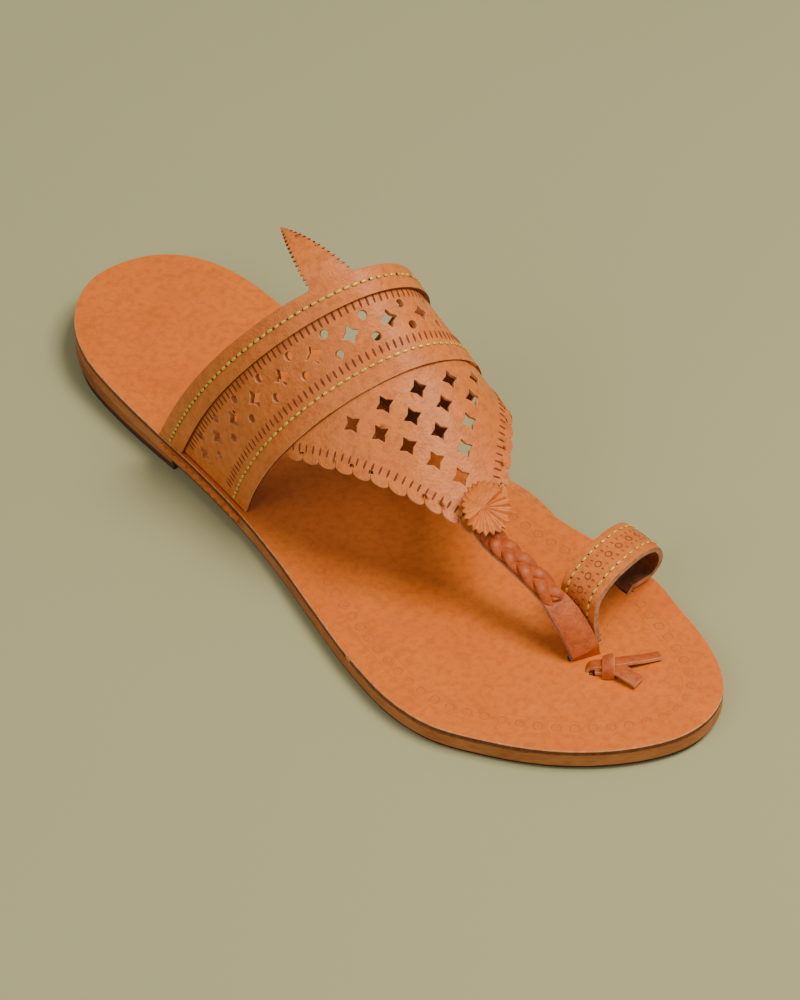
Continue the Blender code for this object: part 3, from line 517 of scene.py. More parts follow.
def grain_leather(name, light, mid, dark, grain_mm, relief, roughness):
    """Vegetable tanned leather, grain side, oiled: mottled tan, pebbled grain of a real size.

    It soaks up the oil unevenly, in clouds 26 mm wide with flecks of 2 mm, and takes fine creases.
    """
    material, tree = new_material(name)
    place = add(tree, "ShaderNodeTexCoord").outputs["Object"]
    patch = add(tree, "ShaderNodeTexNoise", {"Vector": place, "Scale": per_metre(26.31),
                                             "Detail": 4.0,
                                             "Roughness": 0.6, "Distortion": 0.6})
    fleck = add(tree, "ShaderNodeTexNoise", {"Vector": place, "Scale": per_metre(2.381),
                                             "Detail": 5.0,
                                             "Roughness": 0.65})
    wide = add(tree, "ShaderNodeMapRange", {"Value": patch.outputs["Fac"], "From Min": 0.30,
                                            "From Max": 0.70})
    base = add(tree, "ShaderNodeMix", {"Factor": wide.outputs["Result"], "A": linear(mid),
                                       "B": linear(light)}, data_type="RGBA")
    small = add(tree, "ShaderNodeMapRange", {"Value": fleck.outputs["Fac"], "From Min": 0.56,
                                             "From Max": 0.36, "To Max": 0.40})
    colour = add(tree, "ShaderNodeMix", {"Factor": small.outputs["Result"],
                                         "A": base.outputs["Result"], "B": linear(dark)},
                 data_type="RGBA")
    pebble = add(tree, "ShaderNodeTexVoronoi", {"Vector": place, "Scale": per_metre(grain_mm),
                                                "Smoothness": 0.6}, feature="SMOOTH_F1")
    crease = add(tree, "ShaderNodeTexNoise", {"Vector": place, "Scale": per_metre(3.846),
                                              "Detail": 6.0,
                                              "Roughness": 0.7, "Distortion": 1.2})
    height = add(tree, "ShaderNodeMath", {0: pebble.outputs["Distance"], 1: 0.5,
                                          2: crease.outputs["Fac"]}, operation="MULTIPLY_ADD")
    bump = add(tree, "ShaderNodeBump", {"Height": height.outputs[0], "Strength": 0.55,
                                        "Distance": relief})
    gloss = add(tree, "ShaderNodeMapRange", {"Value": crease.outputs["Fac"], "From Min": 0.3,
                                             "From Max": 0.7, "To Min": roughness - 0.06,
                                             "To Max": roughness + 0.10})
    finish_shader(tree, **{"Base Color": colour.outputs["Result"], "Coat Weight": 0.06,
                           "Specular IOR Level": 0.30, "Coat Roughness": 0.28,
                           "Roughness": gloss.outputs["Result"],
                           "Normal": bump.outputs["Normal"]})
    return material


def flat_leather(name, light, dark, roughness, relief):
    """Raw side or cut face of the hide: tufts of short fibres, 2 mm, no grain and no gloss."""
    material, tree = new_material(name)
    place = add(tree, "ShaderNodeTexCoord").outputs["Object"]
    nap = add(tree, "ShaderNodeTexNoise", {"Vector": place, "Scale": per_metre(2.0),
                                           "Detail": 6.0, "Roughness": 0.7})
    spread = add(tree, "ShaderNodeMapRange", {"Value": nap.outputs["Fac"], "From Min": 0.35,
                                              "From Max": 0.65})
    colour = add(tree, "ShaderNodeMix", {"Factor": spread.outputs["Result"], "A": linear(dark),
                                         "B": linear(light)}, data_type="RGBA")
    bump = add(tree, "ShaderNodeBump", {"Height": nap.outputs["Fac"], "Strength": 0.5,
                                        "Distance": relief})
    finish_shader(tree, **{"Base Color": colour.outputs["Result"], "Roughness": roughness,
                           "Normal": bump.outputs["Normal"]})
    return material


# The band is tanned hide with a pebbled grain, oiled to a soft shine. Its flesh side is napped and
# dull.
# Its own edges are dark: a dark dressing with painted shade along them. What the punch cuts stays raw
# and light, and the same light colour on the bevelled rims of the edges is a painted highlight.
band_leather = grain_leather("oiled_band_leather", "#E07E38", "#D0702C", "#9A4814", grain_mm=0.8,
                             relief=0.00036, roughness=0.42)
flesh_side = flat_leather("napped_flesh_side", "#87512C", "#5E361C", 0.90, 0.0003)
cut_side_and_highlight = flat_leather("raw_edge_with_rim_highlight", "#E09A62", "#BE7038", 0.75, 0.0001)
dyed_edge_and_shade = flat_leather("dressed_edge_and_painted_shade", "#7A3E1A", "#50260E", 0.60, 0.0001)


def band_spot(k, shift=0.0):
    """Place k along the row of stars, which dips a little towards both feet."""
    reach = MIDDLE_STAR - FIRST_STAR
    share = FIRST_STAR + 2 * reach / (BAND_STARS - 1) * k
    away = abs(share - MIDDLE_STAR) / reach
    return share, STAR_ROW - STAR_ROW_DIP * away**2 + shift


def band_faces(x, y):
    share, at = x / ARC, y / BAND
    point, normal = on_upper(share, at)
    swell = ripple(point, *BAND_SWELL)[:, None]
    thick = np.where(at < LAP_FROM, UPPER_WALL, UPPER_WALL - FLAP_WALL - LAP_ROOM)[:, None]
    return point + normal * swell, point - normal * thick


band_holes = [pattern_at(band_spot(k), star_shape(STAR)) for k in range(BAND_STARS)]
for shift in (-HOLE_ROWS, HOLE_ROWS):
    for k in range(BAND_STARS - 1):
        band_holes.append(pattern_at(band_spot(k + 0.5, shift), round_shape(HOLE)))
points, faces, slots = cut_leather([(0, 0), (ARC, 0), (ARC, BAND), (0, BAND)], band_holes,
                                   MESH_STEP, band_faces)
# Outer edges: dark dressing with painted shade along them. The bevel's rims take the light cut colour:
# a painted highlight.
band = leather_piece("instep_band", points, faces,
                     [band_leather, flesh_side, dyed_edge_and_shade, cut_side_and_highlight], slots, bevel=0.00022, rim=3)
fix_on(band, "upper", "upper")

# Ears: the band's ends go down through slits in the insole and are folded out flat between
# insole and outsole, where their pinked edges stick out a little.
LEG_WALL = 0.0014
EAR_WALL = 0.0012
EAR_OUT = 0.0014
EAR_TEETH = 12
EAR_INSET = 0.03
EAR_SEAM = GAP * 0.3
TOOTH = 0.0009

for side, name in ((-1, "outer_ear"), (1, "inner_ear")):
    loops = []
    for k, at in enumerate(np.linspace(EAR_INSET, 1 - EAR_INSET, 4 * EAR_TEETH + 1)):
        spot = foot(at, side)
        along = 0.5 - spot[1] / LENGTH
        low, high = insole_under(along) - GAP - EAR_WALL, insole_under(along) - EAR_SEAM
        face = spot[0] - side * (UPPER_WALL - LEG_WALL) / 2
        near = face - side * LEG_WALL
        nick = TOOTH * (0.0 if k % 4 == 0 else 0.6 if k % 2 else 1.0)
        end = edge_x(along, side) + side * (EAR_OUT - nick)
        top = footbed(along) + GAP + UPPER_WALL
        loops.append([(near, spot[1], low), (end, spot[1], low), (end, spot[1], high),
                      (face, spot[1], high), (face, spot[1], top), (near, spot[1], top)])
    ear = leather_piece(name, *loft(loops), [band_leather], bevel=0.0001)
    fix_on(ear, "upper")

# Tab: a folded strap end of the band's leather, cemented between insole and outsole. It shows
# on the inner side, ahead of the band's foot.
TAB_ENDS = (0.566, 0.672)
TAB_SEAM = GAP * 0.5
TAB_WALL = 0.0011
TAB_OUT = 0.0036
TAB_IN = 0.0060
loops = []
for share in np.linspace(0, 1, 24):
    along = TAB_ENDS[0] + (TAB_ENDS[1] - TAB_ENDS[0]) * share
    high = insole_under(along) - TAB_SEAM
    low = high - TAB_WALL
    out = TAB_OUT * math.sin(math.pi * (0.28 + 0.72 * share)) + 0.0001
    near = edge_x(along, 1) - TAB_IN * (1 - 0.6 * share)
    end = edge_x(along, 1) + out
    y = station_y(along)
    loops.append([(near, y, low), (end, y, low), (end, y, high), (near, y, high)])
tab = leather_piece("folded_tab", *loft(loops), [band_leather], bevel=0.0002)
fix_on(tab, "side_tab", "side_tab")

# Flap: a triangle of thinner leather sewn under the band's front edge, with rows of punched
# stars, gouged scallops down both sides and a slit row inside the scallops.
FLAP_OUTER = (0.222, 1.00)
FLAP_INNER = (0.808, 1.00)
FLAP_TIP = (0.515, 2.145)
FLAP_BLUNT = 0.033
SCALLOPS = 11
SCALLOP_DEPTH = 0.0023
FLAP_LAP = 0.80
FLAP_STARS = 5
FLAP_STAR_PITCH = 0.0715
FLAP_ROW_PITCH = 0.163
FLAP_FIRST_STAR = (0.507, 1.15)
FLAP_SWELL = (0.011, 0.00035)


def scalloped(start, end, count, depth):
    """Run of round lobes between two pattern points, lobes to the right of the run."""
    start, end = np.asarray(start, float), np.asarray(end, float)
    run = (end - start) / count
    out = np.array((run[1], -run[0])) / np.linalg.norm(run)
    return [start + run * (k + 0.5 - 0.5 * math.cos(t)) + out * depth * math.sin(t) ** 0.7
            for k in range(count) for t in np.linspace(0, math.pi, 13)[:-1]]


def flap_faces(x, y):
    point, normal = on_upper(x / ARC, y / BAND)
    swell = ripple(point, *FLAP_SWELL)[:, None]
    return (point - normal * (UPPER_WALL - FLAP_WALL - swell), point - normal * UPPER_WALL)


left = np.array((FLAP_OUTER[0] * ARC, FLAP_OUTER[1] * BAND))
right = np.array((FLAP_INNER[0] * ARC, FLAP_INNER[1] * BAND))
tip = np.array((FLAP_TIP[0] * ARC, FLAP_TIP[1] * BAND))
blunt = np.array((FLAP_BLUNT * ARC, 0.0))
flap_edge = [(left[0], FLAP_LAP * BAND), (right[0], FLAP_LAP * BAND)]
flap_edge += scalloped(right, tip + blunt, SCALLOPS, SCALLOP_DEPTH) + [tip + blunt]
flap_edge += scalloped(tip - blunt, left, SCALLOPS, SCALLOP_DEPTH)
flap_holes = []
for row in range(FLAP_STARS):
    for k in range(FLAP_STARS - row):
        aside = k - (FLAP_STARS - 1 - row) / 2
        spot = (FLAP_FIRST_STAR[0] + FLAP_STAR_PITCH * aside, FLAP_FIRST_STAR[1] + FLAP_ROW_PITCH * row)
        flap_holes.append(pattern_at(spot, star_shape(STAR)))
points, faces, slots = cut_leather(flap_edge, flap_holes, MESH_STEP, flap_faces)
# The bevel's rims take the light cut colour: a painted highlight along the scallops and stars.
flap = leather_piece("scalloped_flap", points, faces,
                     [band_leather, flesh_side, cut_side_and_highlight, cut_side_and_highlight], slots, bevel=0.00022, rim=3)
fix_on(flap, "upper")

# Rear binding: a narrow strip sewn along the band's rear edge. Its middle runs out into a
# pinked tail that stands up and back behind the instep.
BINDING_WIDTH = 0.0095
BINDING = 0.0011
TAIL_AT = 0.478
TAIL_LENGTH = 0.0250
TAIL_WIDTH = 0.0125
TAIL_BEND = math.radians(64)
TAIL_LEAN = 0.0028
TAIL_TAPER = 1.30
TAIL_TEETH = 16
TAIL_TIP = 0.0006
BINDING_MESH_STEP = 0.0016
BINDING_SWELL = (0.012, 0.00015)

middle = TAIL_AT * ARC
strip = [(0.0, 0.0)]
for side in (-1, 1):
    run = []
    for k in range(TAIL_TEETH):
        down = k / TAIL_TEETH
        half = TAIL_WIDTH / 2 * (1 - down**TAIL_TAPER)
        centre = middle - TAIL_LEAN * down
        if k:
            run.append((centre + side * max(half - TOOTH, TAIL_TIP), -TAIL_LENGTH * down))
        run.append((centre + side * max(half, TAIL_TIP), -TAIL_LENGTH * down))
    strip += run if side < 0 else [(middle - TAIL_LEAN, -TAIL_LENGTH)] + run[::-1]
strip += [(ARC, 0.0), (ARC, BINDING_WIDTH), (0.0, BINDING_WIDTH)]
tail_lift = on_upper(TAIL_AT, 0.0)[1]
tail_back = on_upper(TAIL_AT, -STEP_AHEAD)[0] - on_upper(TAIL_AT, STEP_AHEAD)[0]
tail_back = tail_back / np.linalg.norm(tail_back)


def binding_faces(x, y):
    point, normal = on_upper(x / ARC, np.maximum(y, 0.0) / BAND)
    swell = ripple(point, *BINDING_SWELL)[:, None]
    turn = (TAIL_BEND * np.maximum(-y, 0.0) / TAIL_LENGTH)[:, None]
    radius = TAIL_LENGTH / TAIL_BEND
    point = point + radius * (tail_back * np.sin(turn) - tail_lift * (1 - np.cos(turn)))
    settle = np.minimum(np.maximum(-y, 0.0) / TAIL_WIDTH, 1.0)[:, None]
    normal = normal * (1 - settle) + (tail_lift * np.cos(turn) + tail_back * np.sin(turn)) * settle
    normal = normal / np.linalg.norm(normal, axis=1, keepdims=True)
    return point + normal * (HAIRLINE + BINDING + swell), point + normal * HAIRLINE


points, faces, slots = cut_leather(strip, [], BINDING_MESH_STEP, binding_faces)
# The strip's outer edges are dark: a dark dressing with painted shade along them.
binding = leather_piece("rear_binding_strip", points, faces,
                        [band_leather, flesh_side, dyed_edge_and_shade, cut_side_and_highlight], slots, bevel=0.00025)
fix_on(binding, "rear_binding", "rear_binding")

# Rows of marks: gold thread stitches with their needle holes, the row of slits inside each
# edge, and tooled stamps. Each is one small form set along a path on the leather.


def marks_tree():
    """Geometry Nodes that set a flat bead or an open ring at even steps along each path."""
    tree = bpy.data.node_groups.new("marks along a path", "GeometryNodeTree")
    face = tree.interface
    face.new_socket("Paths", in_out="INPUT", socket_type="NodeSocketGeometry")
    for name in ("Pitch", "Along", "Across", "Thick", "Uneven"):
        face.new_socket(name, in_out="INPUT", socket_type="NodeSocketFloat")
    face.new_socket("Seed", in_out="INPUT", socket_type="NodeSocketInt")
    face.new_socket("Open Ring", in_out="INPUT", socket_type="NodeSocketBool")
    face.new_socket("Finish", in_out="INPUT", socket_type="NodeSocketMaterial")
    face.new_socket("Marks", in_out="OUTPUT", socket_type="NodeSocketGeometry")
    given = add(tree, "NodeGroupInput").outputs
    path = add(tree, "GeometryNodeMeshToCurve", {"Mesh": given["Paths"]})
    spots = add(tree, "GeometryNodeResampleCurve", {"Curve": path.outputs["Curve"],
                                                    "Length": given["Pitch"]}, mode="LENGTH")
    out = add(tree, "GeometryNodeInputNamedAttribute", {"Name": "out"}, data_type="FLOAT_VECTOR")
    run = add(tree, "GeometryNodeInputTangent")
    ahead = add(tree, "FunctionNodeAlignRotationToVector", {"Vector": run.outputs["Tangent"]},
                axis="X")
    stand = add(tree, "FunctionNodeAlignRotationToVector",
                {"Rotation": ahead.outputs["Rotation"], "Vector": out.outputs["Attribute"]},
                axis="Z", pivot_axis="X")
    low = add(tree, "ShaderNodeMath", {0: 1.0, 1: given["Uneven"]}, operation="SUBTRACT")
    high = add(tree, "ShaderNodeMath", {0: 1.0, 1: given["Uneven"]}, operation="ADD")
    vary = add(tree, "FunctionNodeRandomValue", {2: low.outputs[0], 3: high.outputs[0],
                                                 "Seed": given["Seed"]}, data_type="FLOAT")
    size = add(tree, "ShaderNodeCombineXYZ", {"X": given["Along"], "Y": given["Across"],
                                              "Z": given["Thick"]})
    sized = add(tree, "ShaderNodeVectorMath", {0: size.outputs["Vector"], "Scale": vary.outputs[1]},
                operation="SCALE")
    bead = add(tree, "GeometryNodeMeshUVSphere", {"Segments": 8, "Rings": 6, "Radius": 0.5})
    loop = add(tree, "GeometryNodeCurvePrimitiveCircle", {"Resolution": 14, "Radius": 0.44})
    wire = add(tree, "GeometryNodeCurvePrimitiveCircle", {"Resolution": 6, "Radius": 0.09})
    ring = add(tree, "GeometryNodeCurveToMesh", {"Curve": loop.outputs["Curve"],
                                                 "Profile Curve": wire.outputs["Curve"]})
    form = add(tree, "GeometryNodeSwitch", {"Switch": given["Open Ring"],
                                            "False": bead.outputs["Mesh"],
                                            "True": ring.outputs["Mesh"]}, input_type="GEOMETRY")
    placed = add(tree, "GeometryNodeInstanceOnPoints",
                 {"Points": spots.outputs["Curve"], "Instance": form.outputs["Output"],
                  "Rotation": stand.outputs["Rotation"], "Scale": sized.outputs["Vector"]})
    real = add(tree, "GeometryNodeRealizeInstances", {"Geometry": placed.outputs["Instances"]})
    done = add(tree, "GeometryNodeSetMaterial", {"Geometry": real.outputs["Geometry"],
                                                 "Material": given["Finish"]})
    add(tree, "NodeGroupOutput", {"Marks": done.outputs["Geometry"]})
    return tree


MARKS = marks_tree()
PATH_STEP = 0.0006


def row_of_marks(slot, name, paths, material, pitch, along, across, thick, uneven=0.08, seed=3,
                 ring=False):
    """Marks along paths, made plain and fixed on; a path is its points and outward normals."""
    points = np.concatenate([p for p, _ in paths])
    edges = []
    first = 0
    for p, _ in paths:
        edges += [(first + k, first + k + 1) for k in range(len(p) - 1)]
        first += len(p)
    mesh = bpy.data.meshes.new(name)
    mesh.from_pydata([tuple(p) for p in points], edges, [])
    out = mesh.attributes.new("out", "FLOAT_VECTOR", "POINT")
    out.data.foreach_set("vector", np.concatenate([n for _, n in paths]).astype(np.float32).ravel())
    item = bpy.data.objects.new(name, mesh)
    bpy.context.scene.collection.objects.link(item)
    nodes = item.modifiers.new("marks", "NODES")
    nodes.node_group = MARKS
    values = {"Pitch": pitch, "Along": along, "Across": across, "Thick": thick, "Uneven": uneven,
              "Seed": seed, "Open Ring": ring, "Finish": material}
    for socket in MARKS.interface.items_tree:
        if socket.in_out == "INPUT" and socket.name in values:
            nodes[socket.identifier] = values[socket.name]
    graph = bpy.context.evaluated_depsgraph_get()
    made = bpy.data.meshes.new_from_object(item.evaluated_get(graph), depsgraph=graph)
    item.modifiers.remove(nodes)
    item.data = made
    made.shade_smooth()
    fix_on(item, slot)


def upper_path(spots, lift, swell=BAND_SWELL):
    """Path on the upper through places (share, at), lifted off its uneven face."""
    spots = np.asarray(spots, float)
    flat = spots * (ARC, BAND)
    run = np.concatenate([[0], np.cumsum(np.linalg.norm(np.diff(flat, axis=0), axis=1))])
    steps = np.linspace(0, run[-1], max(2, round(run[-1] / PATH_STEP)))
    share, at = (np.interp(steps, run, spots[:, k]) for k in (0, 1))
    point, normal = on_upper(share, at)
    return point + normal * (lift + ripple(point, *swell)[:, None]), normal


def path_from(path, distance):
    """The same path with a start further along it."""
    points, normals = path
    run = np.cumsum(np.linalg.norm(np.diff(points, axis=0), axis=1))
    start = int(np.searchsorted(run, distance)) + 1
    return points[start:], normals[start:]


def thread_material():
    """Gold thread: metal foil wound on a core, its twist about 1 mm, half metal, half polish."""
    material, tree = new_material("gold_lurex_thread")
    place = add(tree, "ShaderNodeTexCoord").outputs["Object"]
    twist = add(tree, "ShaderNodeTexNoise", {"Vector": place, "Scale": per_metre(1.111),
                                             "Detail": 3.0})
    colour = add(tree, "ShaderNodeMix", {"Factor": twist.outputs["Fac"], "A": linear("#BC8E28"),
                                         "B": linear("#F7DC72")}, data_type="RGBA")
    bump = add(tree, "ShaderNodeBump", {"Height": twist.outputs["Fac"], "Strength": 0.4,
                                        "Distance": 0.0002})
    finish_shader(tree, **{"Base Color": colour.outputs["Result"], "Roughness": 0.38,
                           "Metallic": 0.35, "Normal": bump.outputs["Normal"]})
    return material


gold_thread = thread_material()
# A needle hole is a dark dot: painted shade in the hole. A slit is a dark brown mark on the face:
# painted shade inside the cut.
needle_hole = flat_leather("needle_hole_shadow", "#3A1B10", "#24100A", 0.9, 0.0001)
slit_shadow = flat_leather("painted_slit_shade", "#86360A", "#5C2406", 0.8, 0.0001)
STITCH_PITCH = 0.0026
STITCH_ROWS = (0.120, 0.845)
STITCH_LIFT = 0.00016
ON_FACE = 0.00001
SLIT_PITCH = 0.0021
SLIT_ROWS = (0.300, 0.755)
FLAP_SLIT_PITCH = 0.0023
FLAP_SLITS_IN = 0.0024
FLAP_SLITS_START = 0.003
FLAP_SLITS_STOP = 0.004
FLAP_MIDDLE = np.array((0.5075 * ARC, 1.5 * BAND))

ends = np.linspace(0.012, 0.988, 160)
rear_row = upper_path([(s, STITCH_ROWS[0]) for s in ends], HAIRLINE + BINDING + STITCH_LIFT,
                      BINDING_SWELL)
front_row = upper_path([(s, STITCH_ROWS[1]) for s in ends], STITCH_LIFT)
row_of_marks("upper", "band_stitches", [rear_row, front_row], gold_thread, STITCH_PITCH,
             along=0.0021, across=0.00105, thick=0.00075, uneven=0.10)
row_of_marks("upper", "band_needle_holes", [path_from(rear_row, STITCH_PITCH / 2),
                                            path_from(front_row, STITCH_PITCH / 2)], needle_hole,
             STITCH_PITCH, along=0.00080, across=0.00080, thick=0.00050)

rows = [upper_path([(s, at) for s in np.linspace(0.03, 0.97, 120)], ON_FACE) for at in SLIT_ROWS]
row_of_marks("upper", "band_slits", rows, slit_shadow, SLIT_PITCH, along=0.00068, across=0.0029,
             thick=0.00030, uneven=0.05)

rows = []
for start, end in ((right, tip + blunt), (left, tip - blunt)):
    run = (end - start) / np.linalg.norm(end - start)
    into = np.array((run[1], -run[0]))
    into = into * np.sign(into @ (FLAP_MIDDLE - start)) * FLAP_SLITS_IN
    spots = [(start + run * FLAP_SLITS_START + into) / (ARC, BAND),
             (end - run * FLAP_SLITS_STOP + into) / (ARC, BAND)]
    rows.append(upper_path(spots, ON_FACE - (UPPER_WALL - FLAP_WALL), FLAP_SWELL))
row_of_marks("upper", "flap_slits", rows, slit_shadow, FLAP_SLIT_PITCH, along=0.00062,
             across=0.0027, thick=0.00030, uneven=0.05)

# Insole: the full length footbed of smooth sole leather, with slits that the straps pass through.
# A tooled border of two lines and small rosettes runs inside its edge.
STRAP_SLIT = ((0.828, -0.046), (0.841, 0.044))
RING_FEET = ((0.833, 0.060), (0.802, 0.312))
KNOT_SLIT = (0.858, -0.030)
KNOT_AT = (0.873, 0.004)
KNOT_ENDS = ((0.897, 0.165), (0.912, 0.028))
STRAP_END_WIDTH = 0.0088
PLAIT_BASE = 0.0016
RING_BAND = 0.0135
RING_WALL = 0.0019
THONG_WIDTH = 0.0046
THONG = 0.0014
SLIT_ROOM = 0.00025
BORDER = 0.0088
BORDER_LINES = 0.0026
BORDER_ENDS = (0.27, 0.735)
EDGE_LINE_ENDS = (0.02, 0.985)
INSOLE_MESH_STEP = 0.0036
INSOLE_SWELL = (0.022, 0.00018)


def bed_point(place, height=0.0):
    along, across = place
    return np.array((HEEL_LINE + BALL_WIDTH * across, station_y(along), footbed(along) + height))


def direction(v):
    v = np.asarray(v, float)
    return v / np.linalg.norm(v)


def strap_foot():
    """Corners of the toe strap where it enters its slit: rear face, then front face."""
    outer, inner = bed_point(STRAP_SLIT[0]), bed_point(STRAP_SLIT[1])
    across = direction(inner - outer)
    middle = (outer + inner) / 2
    deep = np.array((across[1], -across[0], 0.0)) * PLAIT_BASE
    half = across * STRAP_END_WIDTH / 2
    return [middle + half, middle - half, middle - half + deep, middle + half + deep]


def ring_feet():
    """Corners of the toe ring's two feet where they enter their slits."""
    outer, inner = bed_point(RING_FEET[0]), bed_point(RING_FEET[1])
    wall = np.array((RING_WALL, 0.0, 0.0))
    back = np.array((0.0, RING_BAND, 0.0))
    return [[outer, outer + back, outer + back + wall, outer + wall],
            [inner, inner + back, inner + back - wall, inner - wall]]


def knot_foot():
    """Corners of the knot's thong where it comes up through its slit."""
    slit = bed_point(KNOT_SLIT)
    run = bed_point(KNOT_AT) - slit
    run[2] = 0.0
    run = direction(run)
    flat = np.array((run[1], -run[0], 0.0)) * THONG_WIDTH / 2
    deep = run * THONG
    return [slit + flat, slit - flat, slit - flat + deep, slit + flat + deep]


def slit_round(corners):
    """Outline of a slit with a little room round the strap that it takes."""
    loop = []
    for k, corner in enumerate(corners):
        away = direction(corner - corners[k - 1]) + direction(corner - corners[(k + 1) % len(corners)])
        loop.append(tuple((corner + away * SLIT_ROOM)[:2]))
    return loop


alongs = (1 - np.cos(np.linspace(0, math.pi, 181))) / 2
outline = [(edge_x(a, 1), station_y(a)) for a in alongs]
outline += [(edge_x(a, -1), station_y(a)) for a in alongs[::-1][1:-1]]
slit_loops = [slit_round(c) for c in [strap_foot(), knot_foot()] + ring_feet()]
for side in (-1, 1):
    near, far = [], []
    for at in np.linspace(EAR_INSET, 1 - EAR_INSET, 9):
        spot = foot(at, side)
        face = spot[0] - side * (UPPER_WALL - LEG_WALL) / 2
        far.append((face + side * SLIT_ROOM, spot[1]))
        near.append((face - side * (LEG_WALL + SLIT_ROOM), spot[1]))
    slit_loops.append(near + far[::-1])
BED = np.array([footbed(a) for a in alongs])


def insole_faces(x, y):
    top = np.interp(0.5 - y / LENGTH, alongs, BED)
    swell = ripple(np.stack([x, y, top], axis=1), *INSOLE_SWELL)
    return (np.stack([x, y, top + swell], axis=1), np.stack([x, y, top - INSOLE], axis=1))


# Sole leather, rolled smooth and oiled once: an even warm tan with hardly any grain and less shine.
insole_leather = grain_leather("smooth_insole_leather", "#E27726", "#D86C20", "#B25010",
                               grain_mm=1.5, relief=0.00008, roughness=0.50)
points, faces, slots = cut_leather(outline, slit_loops, INSOLE_MESH_STEP, insole_faces)
# The insole's outer edge is dark, a dark dressing with painted shade along it; the bevel's rims take
# the light cut colour, a painted highlight.
insole = leather_piece("insole_bed", points, faces,
                       [insole_leather, flesh_side, dyed_edge_and_shade, cut_side_and_highlight], slots, bevel=0.00028,
                       rim=3)
fix_on(insole, "insole", "insole")


def border_path(inset, start, end):
    """Path on the insole inside its edge, from a share of the way round to another."""
    line = np.array(outline)
    ahead = np.roll(line, -2, axis=0) - np.roll(line, 2, axis=0)
    ahead /= np.linalg.norm(ahead, axis=1, keepdims=True)
    inward = np.stack([ahead[:, 1], -ahead[:, 0]], axis=1)
    inward *= np.sign(((line.mean(0) - line) * inward).sum(1))[0]
    kept = line + inward * inset
    run = np.concatenate([[0], np.cumsum(np.linalg.norm(np.diff(kept, axis=0), axis=1))])
    steps = np.arange(start * run[-1], end * run[-1], 0.0008)
    x, y = (np.interp(steps, run, kept[:, k]) for k in (0, 1))
    z = np.interp(0.5 - y / LENGTH, alongs, BED)
    z = z + ripple(np.stack([x, y, z], axis=1), *INSOLE_SWELL) + ON_FACE
    return np.stack([x, y, z], axis=1), np.tile((0.0, 0.0, 1.0), (len(x), 1))


# A tool pressed into damp leather burnishes it a shade darker.
stamp = flat_leather("tooled_insole_mark", "#D66F24", "#CA641E", 0.55, 0.0001)
row_of_marks("insole", "insole_border_lines",
             [border_path(BORDER - BORDER_LINES, *EDGE_LINE_ENDS),
              border_path(BORDER + BORDER_LINES, *BORDER_ENDS)], stamp, pitch=0.0016,
             along=0.0019, across=0.00024, thick=0.00006, uneven=0.03)
rosettes = border_path(BORDER, *BORDER_ENDS)
for name, across, thick, ring in (("insole_rosettes", 0.0030, 0.00030, True),
                                  ("insole_rosette_hearts", 0.0009, 0.00010, False)):
    row_of_marks("insole", name, [rosettes], stamp, pitch=0.0050, along=across, across=across,
                 thick=thick, uneven=0.06, seed=5, ring=ring)

# Toe ring: a band of stitched leather over the big toe, its feet passed down through slits.
# Two rows of gold stitches run along it, with a tooled row of rings and dashes between them.
RING_HEIGHT = 0.0222
RING_LEAN = 0.0025
RING_STATIONS = 96
RING_STRIPS = 8
RING_CROWN = 0.00025
RING_STITCH_INSET = 0.0024
RING_STITCH_PITCH = 0.0027
RING_DASH_ROWS = 0.0021
# Rows, from the outer foot to the inner one: share of the step back between the feet, share of
# the way across, which goes past the inner foot before it curls under, share of the height.
RING_ARCH = ((0.00, 0.00, 0.02), (0.12, -0.06, 0.39), (0.21, -0.03, 0.69), (0.29, 0.14, 0.88),
             (0.36, 0.36, 0.97), (0.44, 0.64, 1.00), (0.53, 0.93, 0.97), (0.60, 1.16, 0.86),
             (0.69, 1.34, 0.61), (0.77, 1.40, 0.37), (0.84, 1.37, 0.19), (0.90, 1.28, 0.08),
             (0.95, 1.14, 0.04), (1.00, 1.00, 0.02))


def ring_line(share):
    """Point of the ring's outer face at its front edge."""
    runs, outs, ups = zip(*RING_ARCH)
    outer, inner = bed_point(RING_FEET[0]), bed_point(RING_FEET[1])
    up = smooth(runs, ups, share)
    return np.array((outer[0] + (inner[0] - outer[0]) * smooth(runs, outs, share),
                     outer[1] + (inner[1] - outer[1]) * share - RING_LEAN * up,
                     outer[2] + RING_HEIGHT * up))


def ring_out(share):
    """Direction out of the ring, level with its width."""
    run = ring_line(min(share + 0.01, 1.0)) - ring_line(max(share - 0.01, 0.0))
    if share in (0.0, 1.0):
        run = np.array((0.0, 0.0, 1.0 - 2.0 * share))
    return direction((-run[2], 0.0, run[0]))


def ring_point(share, inset, back):
    """Point of the toe ring: share of the arch, depth in its wall, distance back from its front."""
    return ring_line(share) - ring_out(share) * inset + np.array((0.0, back, 0.0))


shares = [(1 - math.cos(t)) / 2 for t in np.linspace(0, math.pi, RING_STATIONS)]
backs = [RING_BAND * k / RING_STRIPS for k in range(RING_STRIPS + 1)]
loops = []
for share in shares:
    top = [ring_point(share, RING_CROWN * (2 * b / RING_BAND - 1) ** 4, b) for b in backs]
    under = [ring_point(share, RING_WALL, b) for b in backs[::-1]]
    loops.append(top + under)
for end in (0, -1):
    foot_loop = [np.array((p[0], p[1], insole_under(RING_FEET[0][0]))) for p in loops[end]]
    loops.insert(0 if end == 0 else len(loops), foot_loop)
points, faces = loft(loops)
kinds = [0] * RING_STRIPS + [2] + [1] * RING_STRIPS + [2]
slots = loft_slots(kinds, faces)
